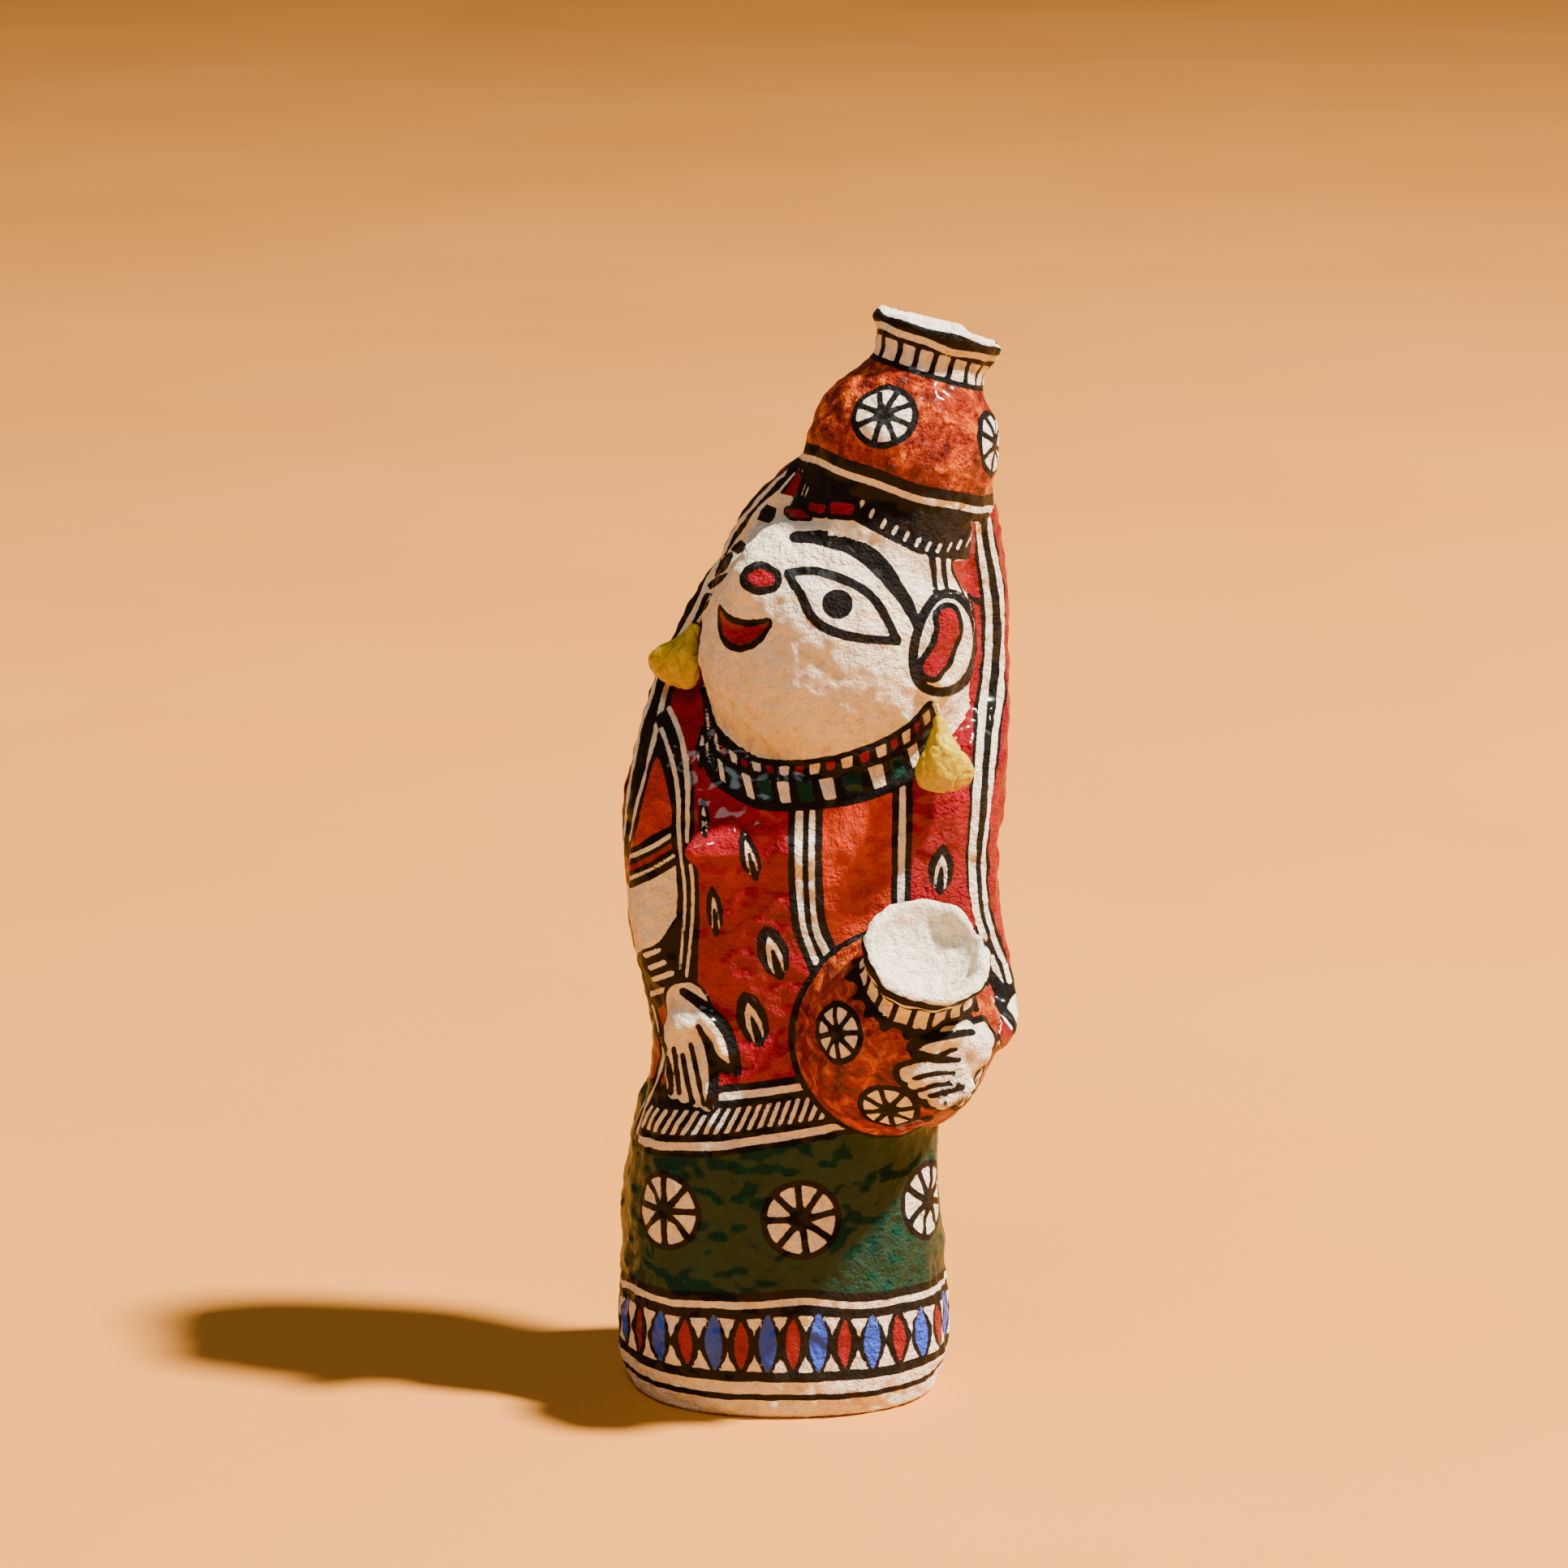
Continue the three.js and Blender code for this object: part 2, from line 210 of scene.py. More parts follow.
def noise_at(points, size, seed=0.0):
    """Smooth noise between about -1 and 1 with lumps of the given size."""
    shifted = (points / size + seed).tolist()
    return np.array([noise.noise(place) for place in shifted])


def ramp(value, low, high):
    share = np.clip((value - low) / (high - low), 0, 1)
    return share * share * (3 - 2 * share)


def tube(shape, points, radii, sides=12):
    """Adds a round limb with closed ends to a bmesh, through the given points."""
    path = np.array(curve(points, LIMB_STEP))
    shares = np.linspace(0, 1, len(path))
    widths = np.interp(shares, np.linspace(0, 1, len(radii)), radii)
    way = np.gradient(path, axis=0)
    side = unit(np.cross(unit(way[0]), (0.31, 0.87, 0.38)))
    rings = []
    for place, along, share, width in zip(path, way, shares, widths):
        along = unit(along)
        side = unit(side - along * side.dot(along))
        other = np.cross(along, side)
        end = min(share, 1 - share) * (len(path) - 1) * LIMB_STEP / width
        round_off = math.sqrt(max(1 - (1 - min(end, 1)) ** 2, 0.05))
        turns = [2 * math.pi * k / sides for k in range(sides)]
        ring = [place + width * round_off * (math.cos(t) * side + math.sin(t) * other) for t in turns]
        rings.append([shape.verts.new(point * MM) for point in ring])
    for lower, upper in zip(rings, rings[1:]):
        for k in range(sides):
            after = (k + 1) % sides
            shape.faces.new((lower[k], lower[after], upper[after], upper[k]))
    shape.faces.new(rings[0][::-1])
    shape.faces.new(rings[-1])


def curve(points, step, closed=False):
    """Points about one step apart on a smooth curve through the given ones."""
    points = [np.asarray(point, float) for point in points]
    if closed:
        knots = [points[-1]] + points + points[:2]
    else:
        knots = [2 * points[0] - points[1]] + points + [2 * points[-1] - points[-2]]
    path = []
    for before, start, end, after in zip(knots, knots[1:], knots[2:], knots[3:]):
        count = max(1, round(np.linalg.norm(end - start) / step))
        for k in range(count):
            t = k / count
            pull = (end - before) * t + (2 * before - 5 * start + 4 * end - after) * t * t
            path.append(start + 0.5 * (pull + (3 * start - before - 3 * end + after) * t ** 3))
    path.append(knots[-2])
    return path


# Places on the head and the pots.
HEAD_SIDE = np.array([math.cos(HEAD_YAW), -math.sin(HEAD_YAW), 0.0])
HEAD_AHEAD = np.array([-math.sin(HEAD_YAW) * math.cos(HEAD_PITCH),
                       -math.cos(HEAD_YAW) * math.cos(HEAD_PITCH), math.sin(HEAD_PITCH)])
HEAD_UP = np.cross(HEAD_AHEAD, HEAD_SIDE)
HEAD_AXES = np.array([HEAD_AHEAD, HEAD_SIDE, HEAD_UP])


def head_measures(points):
    """Forward, to the figure's left and up from the head's middle, before it is pressed."""
    offset = np.asarray(points) - HEAD_CENTRE
    offset = offset / (1, HEAD_PRESS, 1)
    return offset @ HEAD_AXES.T


def head_place(measures):
    return (np.asarray(measures) @ HEAD_AXES) * (1, HEAD_PRESS, 1) + HEAD_CENTRE


def pot_axes(pot):
    """The pot's axis, the way that faces the viewer square to it, and the way to the viewer's right."""
    axis = unit(pot["lean"])
    facing = np.array([0.0, -1.0, 0.0])
    facing = unit(facing - axis * facing.dot(axis))
    return axis, facing, np.cross(axis, facing)


def pot_measures(points, pot):
    """Height along the pot's axis, distance from it, and angle from the way that faces the viewer."""
    axis, facing, right = pot_axes(pot)
    offset = np.asarray(points) - pot["centre"]
    height = offset @ axis
    across = offset @ right
    ahead = offset @ facing
    return height, np.hypot(across, ahead), np.degrees(np.arctan2(across, ahead))


def pot_radius(height, pot):
    """The pot's outer radius at each height along its axis."""
    belly = np.sqrt(np.clip(pot["radius"] ** 2 - np.clip(height, -pot["radius"], None) ** 2, 0, None))
    shoulder = pot["radius"] * np.sqrt(1 - (0.81 * np.clip(height / pot["neck_at"], 0, 1)) ** 2)
    rise = pot["rim_at"] - pot["neck_at"]
    stops = [pot["neck_at"] + share * rise for share in (0, 0.3, 0.62)] + [pot["rim_at"] - 2.6]
    neck = np.interp(height, stops, [pot["neck"], pot["neck"] - 0.5, pot["rim"] - 1, pot["rim"]])
    return np.where(height < 0, belly, np.where(height < pot["neck_at"], shoulder, neck))


def fingers(hand):
    rows = []
    for k in range(FINGER_COUNT):
        root = np.array(hand["root"]) + k * np.array(hand["root_step"])
        tip = np.array(hand["tip"]) + k * np.array(hand["tip_step"])
        rows.append([(root, (root + tip) / 2, tip), (FINGER_RADIUS, FINGER_RADIUS, FINGER_RADIUS * 0.8)])
    return rows


def gap_to_path(points, path, radii):
    """Distance from each point to a path, less the path's radius at the nearest place."""
    path = np.asarray(path, float)
    radii = np.interp(np.linspace(0, 1, len(path)), np.linspace(0, 1, len(radii)), radii)
    gap = np.full(len(points), np.inf)
    for start, end, wide, narrow in zip(path, path[1:], radii, radii[1:]):
        way = end - start
        share = np.clip((points - start) @ way / max(way @ way, 1e-9), 0, 1)
        reach = np.linalg.norm(points - start - share[:, None] * way, axis=1)
        gap = np.minimum(gap, reach - wide - share * (narrow - wide))
    return gap


def gap_to_limbs(points, limbs):
    return np.min([gap_to_path(points, path, radii) for path, radii in limbs], axis=0)


RIGHT_HAND_LIMBS = [RIGHT_HAND, RIGHT_THUMB] + fingers(RIGHT_FINGERS)
LEFT_HAND_LIMBS = [LEFT_HAND, LEFT_THUMB] + fingers(LEFT_FINGERS)


# The figure's form: the solid's own shape, softened, with fingers, lips and lumps worked in.
def rim_lip(shape, pot):
    """The uneven rolled lip round a pot's mouth, as a closed chain of short limbs."""
    axis, facing, right = pot_axes(pot)
    steps = 60
    ring = []
    for k in range(steps + 1):
        turn = 2 * math.pi * k / steps
        lift = 0.45 * math.sin(2 * turn + 1.1) + 0.35 * math.sin(5 * turn) + 0.2 * math.sin(9 * turn + 2)
        reach = pot["rim"] - 1.75 + 0.25 * math.sin(7 * turn)
        out = math.sin(turn) * right + math.cos(turn) * facing
        ring.append(np.array(pot["centre"]) + axis * (pot["rim_at"] - 1.7 + lift) + out * reach)
    tube(shape, ring, (1.55, 1.8, 1.5, 1.75, 1.55))


def ear_size(measures):
    """Size of each point's offset from the nearer ear's middle, 1 on the ear's own surface."""
    side = np.abs(measures[:, 1])
    out = measures[:, 0] * math.cos(EAR_TURN) + side * math.sin(EAR_TURN) - EAR_OUT
    across = -measures[:, 0] * math.sin(EAR_TURN) + side * math.cos(EAR_TURN)
    up = measures[:, 2] - EAR_LIFT
    wide = across * math.cos(EAR_LEAN) + up * math.sin(EAR_LEAN)
    tall = up * math.cos(EAR_LEAN) - across * math.sin(EAR_LEAN)
    return np.linalg.norm(np.column_stack((out, wide, tall)) / EAR_SIZES, axis=1)


def ear_disc(shape, side):
    """Adds one ear, a flattened ball standing off the side of the head."""
    ball = bmesh.ops.create_icosphere(shape, subdivisions=4, radius=1.0)["verts"]
    for vertex in ball:
        out, wide, tall = np.array(vertex.co) * EAR_SIZES
        across = wide * math.cos(EAR_LEAN) - tall * math.sin(EAR_LEAN)
        up = tall * math.cos(EAR_LEAN) + wide * math.sin(EAR_LEAN)
        out += EAR_OUT
        ahead = out * math.cos(EAR_TURN) - across * math.sin(EAR_TURN)
        aside = out * math.sin(EAR_TURN) + across * math.cos(EAR_TURN)
        vertex.co = head_place((ahead, side * aside, up + EAR_LIFT)) * MM


def near_detail(points):
    """1 where the solid has narrow forms that softening would wear away, 0 on the broad ones."""
    measures = head_measures(points)
    ahead, side, up = measures.T
    nose = np.exp(-(side / 9) ** 2 - ((up - 9) / 17) ** 2) * (ahead > 15)
    detail = np.maximum(nose, ramp(-points[:, 2], -6, -2))
    for pot in (HEAD_POT, HIP_POT):
        height, reach, _ = pot_measures(points, pot)
        detail = np.maximum(detail, ramp(height, pot["neck_at"] - 4, pot["neck_at"]) * (reach < 18))
    for tip in BREAST_TIPS:
        detail = np.maximum(detail, np.exp(-(np.linalg.norm(points - tip, axis=1) / 6) ** 2))
    return detail


def worked_form():
    """The whole figure as one closed mesh."""
    rough = remeshed(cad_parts["figure"].data.copy(), ROUGH_CELL)
    points = mesh_points(rough)
    amount = SOFTNESS * (1 - DETAIL_KEPT * near_detail(points))
    points = smooth(points, mesh_edges(rough), SMOOTHING_ROUNDS, amount)
    height, reach, _ = pot_measures(points, HIP_POT)
    share = ramp(-height, 2, 22) * ramp(pot_radius(height, HIP_POT) + 2 - reach, 0, 1.5)
    points += HIP_POT_PRESS * share[:, None] * pot_axes(HIP_POT)[0]
    set_points(rough, points)
    shape = bmesh.new()
    shape.from_mesh(rough)
    for path, radii in RIGHT_HAND_LIMBS + LEFT_HAND_LIMBS:
        tube(shape, path, radii)
    for pot in (HEAD_POT, HIP_POT):
        rim_lip(shape, pot)
    for side in (1, -1):
        ear_disc(shape, side)
    joined = bpy.data.meshes.new("joined")
    shape.to_mesh(joined)
    shape.free()
    fine = remeshed(joined, FINE_CELL)
    points = smooth(mesh_points(fine), mesh_edges(fine), 4, SOFTNESS)
    set_points(fine, points)
    normals = mesh_normals(fine)
    lumps = sum(height * noise_at(points, size, size) for size, height in LUMPS)
    lumps *= ramp(points[:, 2], 0.3, 2.0)
    points = points + normals * lumps[:, None]
    low, high = (np.array(corner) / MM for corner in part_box("figure"))
    points = np.clip(points, low, high)
    points[points[:, 2] < FLAT_BELOW, 2] = 0
    set_points(fine, points)
    return fine


# Where a pixel of the photograph falls on the figure; steps are in pixels.
STROKE_STEP = 8
OUTLINE_STEP = 10


class Surface:
    """The finished form with the means to find places on it."""

    def __init__(self, mesh):
        self.points = mesh_points(mesh)
        self.normals = mesh_normals(mesh)
        faces = [tuple(face.vertices) for face in mesh.polygons]
        self.tree = BVHTree.FromPolygons(self.points.tolist(), faces)

    def touch(self, pixel):
        """The place that a pixel shows, or nothing where the ray misses."""
        right = (pixel[0] - FRAME_SIDE / 2) / FOCAL
        up = (FRAME_SIDE / 2 - pixel[1]) / FOCAL
        hit = self.tree.ray_cast(Vector(EYE), Vector(AHEAD + right * ASIDE + up * UPWARD))[0]
        return None if hit is None else np.array(hit)

    def snap(self, place):
        return np.array(self.tree.find_nearest(Vector(place))[0])

    def seen(self, pixels):
        """A path on the surface under a smooth curve through the given pixels."""
        hits = [self.touch(pixel) for pixel in curve(pixels, STROKE_STEP)]
        return np.array([hit for hit in hits if hit is not None])

    def inward(self, start, way):
        """The place where a straight line from outside meets the surface."""
        hit = self.tree.ray_cast(Vector(start), Vector(way))[0]
        return None if hit is None else np.array(hit)


def seen_at(points):
    """The pixel at which each point lies in the photograph's frame."""
    offset = points - EYE
    depth = offset @ AHEAD
    across = FRAME_SIDE / 2 + FOCAL * (offset @ ASIDE) / depth
    down = FRAME_SIDE / 2 - FOCAL * (offset @ UPWARD) / depth
    return np.column_stack((across, down))


# Paint: for each colour, each point's distance to the edge of that paint, below zero inside it.
# A stroke breaks off where its path leaps further than LEAP, from one form to one behind it.
COLOURS = ("pot", "red", "orange", "green", "blue", "black")
UNPAINTED = 50.0
OVERLAP = 0.16
SPREAD = 0.16
LEAP = 6.0
MARGIN = 2.5
DISC_MARGIN = 3.0
PIXEL_MARGIN = 20
PIXEL_SIZE = 0.19
WHEEL_RING = 1.35
WHEEL_SPOKES = 8


class Coat:
    """The paint on a surface, laid stroke by stroke; what comes later covers what lies under it."""

    def __init__(self, surface):
        self.surface = surface
        self.points = surface.points
        self.pixels = seen_at(self.points)
        self.edge = {colour: np.full(len(self.points), UNPAINTED) for colour in COLOURS}

    def lay(self, colour, depth, chosen=None):
        """Lays a colour where depth is below zero; depth is in millimetres from its edge."""
        chosen = slice(None) if chosen is None else chosen
        spare = 0.0 if colour == "white" else OVERLAP
        if colour == "black":
            spare *= 2
            depth = depth - SPREAD
        for name, edge in self.edge.items():
            if name == colour:
                edge[chosen] = np.minimum(edge[chosen], depth)
            else:
                edge[chosen] = np.maximum(edge[chosen], -depth - spare)

    def stroke(self, colour, path, widths, on=None):
        """A brush stroke along a path; widths is one width or a few along the way."""
        if len(path) < 2:
            return
        path = np.asarray(path)
        halves = np.atleast_1d(widths) / 2
        reach = halves.max() + MARGIN
        inside = (self.points > path.min(0) - reach) & (self.points < path.max(0) + reach)
        near = np.flatnonzero(inside.all(1) if on is None else inside.all(1) & on)
        jumps = np.linalg.norm(np.diff(path, axis=0), axis=1) > LEAP
        halves = np.interp(np.linspace(0, 1, len(path)), np.linspace(0, 1, len(halves)), halves)
        depth = np.full(len(near), UNPAINTED)
        for k in np.flatnonzero(~jumps):
            depth = np.minimum(depth, gap_to_path(self.points[near], path[k:k + 2], halves[k:k + 2]))
        self.lay(colour, depth, near)

    def seen_stroke(self, colour, pixels, widths, on=None):
        self.stroke(colour, self.surface.seen(pixels), widths, on)

    def depth_in(self, pixels, on, straight=False):
        """Depth inside an outline drawn in the photograph's frame, on the chosen points only."""
        outline = np.array(pixels if straight else curve(pixels, OUTLINE_STEP, closed=True), float)
        low = outline.min(0) - PIXEL_MARGIN
        high = outline.max(0) + PIXEL_MARGIN
        near = np.flatnonzero(((self.pixels > low) & (self.pixels < high)).all(1) & on)
        spots = self.pixels[near]
        reach = np.full(len(near), np.inf)
        inside = np.zeros(len(near), bool)
        for start, end in zip(outline, np.roll(outline, -1, axis=0)):
            way = end - start
            share = np.clip((spots - start) @ way / max(way @ way, 1e-9), 0, 1)
            reach = np.minimum(reach, np.linalg.norm(spots - start - share[:, None] * way, axis=1))
            spans = (start[1] > spots[:, 1]) != (end[1] > spots[:, 1])
            rise = way[1] if way[1] else 1e-9
            crossing = start[0] + (spots[:, 1] - start[1]) / rise * way[0]
            inside ^= spans & (spots[:, 0] < crossing)
        return np.where(inside, -reach, reach) * PIXEL_SIZE, near

    def fill(self, colour, pixels, on, straight=False):
        self.lay(colour, *self.depth_in(pixels, on, straight))

    def ring(self, colour, pixels, width, on):
        depth, near = self.depth_in(pixels, on)
        self.lay(colour, np.abs(depth) - width / 2, near)

    def band(self, colour, value, low, high, on):
        """Lays a colour where a measure lies between two bounds."""
        near = np.flatnonzero(on)
        value = value[near]
        low = low[near] if np.ndim(low) else low
        high = high[near] if np.ndim(high) else high
        self.lay(colour, np.maximum(low - value, value - high), near)

    def disc(self, colour, centre, radius, on):
        reach = np.linalg.norm(self.points - centre, axis=1) - radius
        near = np.flatnonzero((reach < DISC_MARGIN) & on)
        self.lay(colour, reach[near], near)


def tangents(normal):
    """Two ways square to a normal: one level, the other up the surface."""
    level = unit(np.cross((0, 0, 1), normal))
    return level, np.cross(normal, level)


def outward(surface, place):
    return np.array(surface.tree.find_nearest(Vector(place))[1])


def paint_wheel(coat, centre, radius, on, turn):
    """A pale disc in a black ring, cut by eight black spokes that swell where they meet."""
    coat.disc("black", centre, radius, on)
    coat.disc("white", centre, radius - WHEEL_RING, on)
    level, rise = tangents(outward(coat.surface, centre))
    for k in range(WHEEL_SPOKES):
        angle = turn + 2 * math.pi * k / WHEEL_SPOKES + 0.09 * math.sin(5.3 * k + 20 * turn)
        way = math.cos(angle) * level + math.sin(angle) * rise
        path = [coat.surface.snap(centre + way * radius * share) for share in (0.0, 0.45, 0.86)]
        coat.stroke("black", path, (0.20 * radius, 0.14 * radius, 0.15 * radius), on)


def paint_leaf(coat, top, bottom, width, on):
    """A black leaf with a pale heart and a black vein, drawn between two pixels."""
    top = np.array(top, float)
    bottom = np.array(bottom, float)

    def along(start, end):
        shares = (start, (start + end) / 2, end)
        return coat.surface.seen([top + (bottom - top) * share for share in shares])

    coat.stroke("black", along(0.06, 0.94), (0.6, 0.75 * width, width, 0.85 * width, 0.8), on)
    coat.stroke("white", along(0.24, 0.84), (0.3, 0.40 * width, 0.52 * width, 0.42 * width), on)
    coat.stroke("black", along(0.50, 0.95), (0.6, 0.22 * width, 0.26 * width), on)


# The parts of the surface that carry different painting.
WAIST_SLOPE = 0.17
HAND_SKIN = 0.6
POT_WALL = 1.9
POT_MOUTH = 20
HEAD_POT_FOOT = -12
HEAD_POT_SKIN = 3.2
HIP_POT_FOOT = -23.4
HIP_POT_SKIN = 1.0
EAR_EDGE = 1.25
EAR_CLEAR = 1.2
CHIN_HEIGHT = 146
HAIR_HEIGHTS = (-34, -10)
HAIR_REACH = (16, 24)
VEIL_SIDE = 42.5
VEIL_BACK = 14


class Regions:
    def __init__(self, points, normals):
        self.angle = np.degrees(np.arctan2(points[:, 0], -points[:, 1]))
        self.waist = points[:, 2] - WAIST_SLOPE * points[:, 0]
        self.right_hand_gap = gap_to_limbs(points, RIGHT_HAND_LIMBS)
        self.left_hand_gap = gap_to_limbs(points, LEFT_HAND_LIMBS)
        self.head_height, head_reach, self.head_angle = pot_measures(points, HEAD_POT)
        self.hip_height, hip_reach, self.hip_angle = pot_measures(points, HIP_POT)
        head_gap = head_reach - pot_radius(self.head_height, HEAD_POT)
        self.hip_gap = hip_reach - pot_radius(self.hip_height, HIP_POT)
        self.head_outer = (head_gap > -POT_WALL) | (self.head_height < POT_MOUTH)
        self.hip_outer = (self.hip_gap > -POT_WALL) | (self.hip_height < POT_MOUTH)
        self.head_pot = (self.head_height > HEAD_POT_FOOT) & (head_gap < HEAD_POT_SKIN)
        self.hip_pot = (self.hip_height > HIP_POT_FOOT) & (self.hip_gap < HIP_POT_SKIN)
        self.hip_pot &= self.left_hand_gap > HAND_SKIN
        measures = head_measures(points)
        size = np.linalg.norm(measures / HEAD_RADII, axis=1)
        nose = (measures[:, 0] > 12) & (measures[:, 2] > -6) & (np.abs(measures[:, 1]) < 12)
        self.head = (size < 1.055) | (nose & (size < 1.35))
        ear = ear_size(measures) < EAR_EDGE
        self.head |= ear
        self.head &= ~self.head_pot & (points[:, 2] > CHIN_HEIGHT)
        drum = (self.head_height > HAIR_HEIGHTS[0]) & (self.head_height < HAIR_HEIGHTS[1])
        drum &= (head_reach > HAIR_REACH[0]) & (head_reach < HAIR_REACH[1])
        veil = (points[:, 0] > VEIL_SIDE) | (points[:, 1] > VEIL_BACK)
        self.hair = drum & ~veil & ~self.head_pot
        self.head &= ~veil | ear
        hands = (self.right_hand_gap < HAND_SKIN) | (self.left_hand_gap < HAND_SKIN)
        self.body = ~(self.head | self.hair | self.head_pot | self.hip_pot | hands)
        self.front = normals @ -AHEAD > 0.02


# Skirt and waist. Hem lines are heights from the hem's upper edge, foot lines from the floor.
SKIRT_TOP = 91
HEM_LINES = [("black", -0.2, 1.8), ("white", -2.0, -0.2), ("black", -4.1, -2.0)]
FOOT_LINES = [("black", 9.7, 11.9), ("black", 5.0, 6.3)]
HEM_LOZENGES = 32
LOZENGE_TURN = 4
LOZENGE_FOOT = 11.4
LOZENGE_DROP = 3.6
LOZENGE_OUTLINE = np.array([1.4, 3.4, 5.6, 7.0, 5.6, 3.4, 1.4])
LOZENGE_FILL = np.array([1.2, 2.9, 4.1, 4.5, 4.1, 2.9, 1.2])
LOZENGE_COLOURS = [("red", 12.9, 1.5, 0.82), ("blue", 12.4, 0.4, 1.0)]
SKIRT_WHEELS = 6
SKIRT_WHEEL_TURN = 8
SKIRT_WHEEL_HEIGHT = 48.6
SKIRT_WHEEL_RADIUS = 9.3
PANEL_EDGE_ANGLE = 80
WAIST_BLACK = (65.8, 81.3)
WAIST_LOWER_LINE = (67.1, 69.0)
WAIST_UPPER_LINE = (78.0, 79.7)
UPPER_LINE_START = -17.5
HATCH_PITCH = 2.75
HATCH_HALF = 0.66
HATCH_ROUND = 31
HATCH_BAND = (70.7, 76.2)


def hem_top(angle):
    """Height of the hem's upper edge round the skirt; it dips at the sides and wavers."""
    turn = np.radians(angle)
    return 26 + 3.6 * np.cos(turn) + 0.35 * np.sin(5 * turn + 1) + 0.25 * np.sin(9 * turn)


def on_skirt(surface, angle, height):
    """The skirt's surface at an angle from the front and a height."""
    turn = math.radians(angle)
    way = np.array([math.sin(turn), -math.cos(turn), 0])
    return surface.inward(way * 90 + (0, 0, height), -way)


def up_skirt(surface, angle, low, high):
    """A path straight up the skirt between two heights, with one place for each lozenge width."""
    return [on_skirt(surface, angle, level) for level in np.linspace(low, high, len(LOZENGE_FILL))]


def paint_skirt(coat, parts):
    height = coat.points[:, 2]
    body = parts.body
    hem = hem_top(parts.angle)
    coat.lay("green", np.maximum(hem + 1 - height, height - SKIRT_TOP))
    for colour, low, high in HEM_LINES:
        coat.band(colour, height, hem + low, hem + high, body)
    for colour, low, high in FOOT_LINES:
        coat.band(colour, height, low, high, body)
    for k in range(HEM_LOZENGES):
        angle = LOZENGE_TURN + 360 * k / HEM_LOZENGES
        top = hem_top(angle) - LOZENGE_DROP
        colour, foot, drop, share = LOZENGE_COLOURS[k % 2]
        coat.stroke("black", up_skirt(coat.surface, angle, LOZENGE_FOOT, top), LOZENGE_OUTLINE)
        coat.stroke(colour, up_skirt(coat.surface, angle, foot, top - drop), share * LOZENGE_FILL)
    for k in range(SKIRT_WHEELS):
        angle = SKIRT_WHEEL_TURN + 360 * k / SKIRT_WHEELS
        centre = on_skirt(coat.surface, angle, SKIRT_WHEEL_HEIGHT)
        paint_wheel(coat, centre, SKIRT_WHEEL_RADIUS, body, turn=0.1 + 0.3 * k)


def paint_waist(coat, parts):
    """The dress's lower border: two pale lines with slanting pale bars between them."""
    level = parts.waist
    panel = parts.body & (np.abs(parts.angle) < PANEL_EDGE_ANGLE)
    coat.band("black", level, *WAIST_BLACK, panel)
    coat.band("white", level, *WAIST_LOWER_LINE, panel)
    coat.band("white", level, *WAIST_UPPER_LINE, panel & (coat.points[:, 0] > UPPER_LINE_START))
    near = np.flatnonzero(panel)
    along = np.radians(parts.angle[near]) * HATCH_ROUND - 0.5 * (level[near] - 70.6)
    bar = np.abs((along % HATCH_PITCH) - HATCH_PITCH / 2) - HATCH_HALF
    zone = np.maximum(HATCH_BAND[0] - level[near], level[near] - HATCH_BAND[1])
    coat.lay("white", np.maximum(bar, zone), near)


# Veil, dress and sleeves. Lists of pairs are pixels of the photograph's frame.
VEIL_HEM = 89.5
DRESS_HEM = 80.5
ABOVE_ALL = 400
FRONT_ANGLE = 86
BACK_LINES = [("black", 84.6, 91.2), ("white", 86.6, 88.8)]
BACK_LEAVES_ACROSS = (-26, -13, 0, 13, 26)
BACK_LEAVES_UP = (104, 126, 148, 170, 192)
BACK_LEAF_SHIFT = 6.5
BACK_LEAF_HALF = 5.2
VEIL_TOP_BAND = [(980, 572), (970, 583), (955, 595), (941, 610), (928, 625), (914, 641), (903, 662),
                 (893, 682), (880, 702), (866, 730), (852, 760), (836, 790)]
VEIL_TOP_WHITE = [(976, 577), (956, 592), (942, 607), (930, 620), (919, 634), (905, 652), (896, 670),
                  (887, 688), (876, 706), (865, 732), (853, 758), (836, 787)]
VEIL_TOP_INNER = [(981, 579), (966, 601), (953, 613), (940, 624), (930, 635), (918, 654)]
VEIL_LEFT_BAND = [(822, 815), (811, 855), (799, 896), (787, 949), (777, 994), (773, 1040)]
VEIL_LEFT_WHITES = [[(812, 825), (802, 857), (789, 897), (779, 949), (772, 994), (769, 1030)],
                    [(828, 825), (819, 854), (809, 896), (796, 949), (784, 994), (776, 1034)]]
SLEEVE_OUTER = [(824, 872), (835, 896), (842, 922), (847, 962), (847, 1010), (847, 1045), (853, 1082),
                (853, 1131), (846, 1203)]
SLEEVE_INNER = [(815, 898), (825, 927), (832, 955), (836, 985), (836, 1014), (838, 1047), (844, 1107),
                (838, 1194)]
SLEEVE_MIDDLE = [(819, 882), (829, 910), (838, 955), (842, 1010), (843, 1045), (848, 1095), (847, 1150),
                 (842, 1206)]
SLEEVE_BLACK = [(814, 882), (824, 908), (834, 950), (838, 1010), (835, 1024), (774, 1056), (776, 1020),
                (790, 960), (804, 905)]
ORANGE_SLEEVE = [(809, 931), (818, 950), (827, 990), (831, 1014), (806, 1028), (777, 1046), (784, 1020),
                 (797, 965)]
UPPER_ARM_SKIN = [(775, 1088), (805, 1078), (834, 1062), (839, 1100), (838, 1128), (822, 1152),
                  (814, 1172), (789, 1186), (780, 1150), (773, 1115)]
SLEEVE_BAND = [("black", 1041, 1070, 2.6), ("white", 1026, 1056, 1.1), ("black", 1033, 1063, 1.0),
               ("red", 1040, 1070, 1.7), ("black", 1047, 1077, 1.0), ("white", 1054, 1083, 1.1),
               ("black", 1061, 1090, 1.5)]
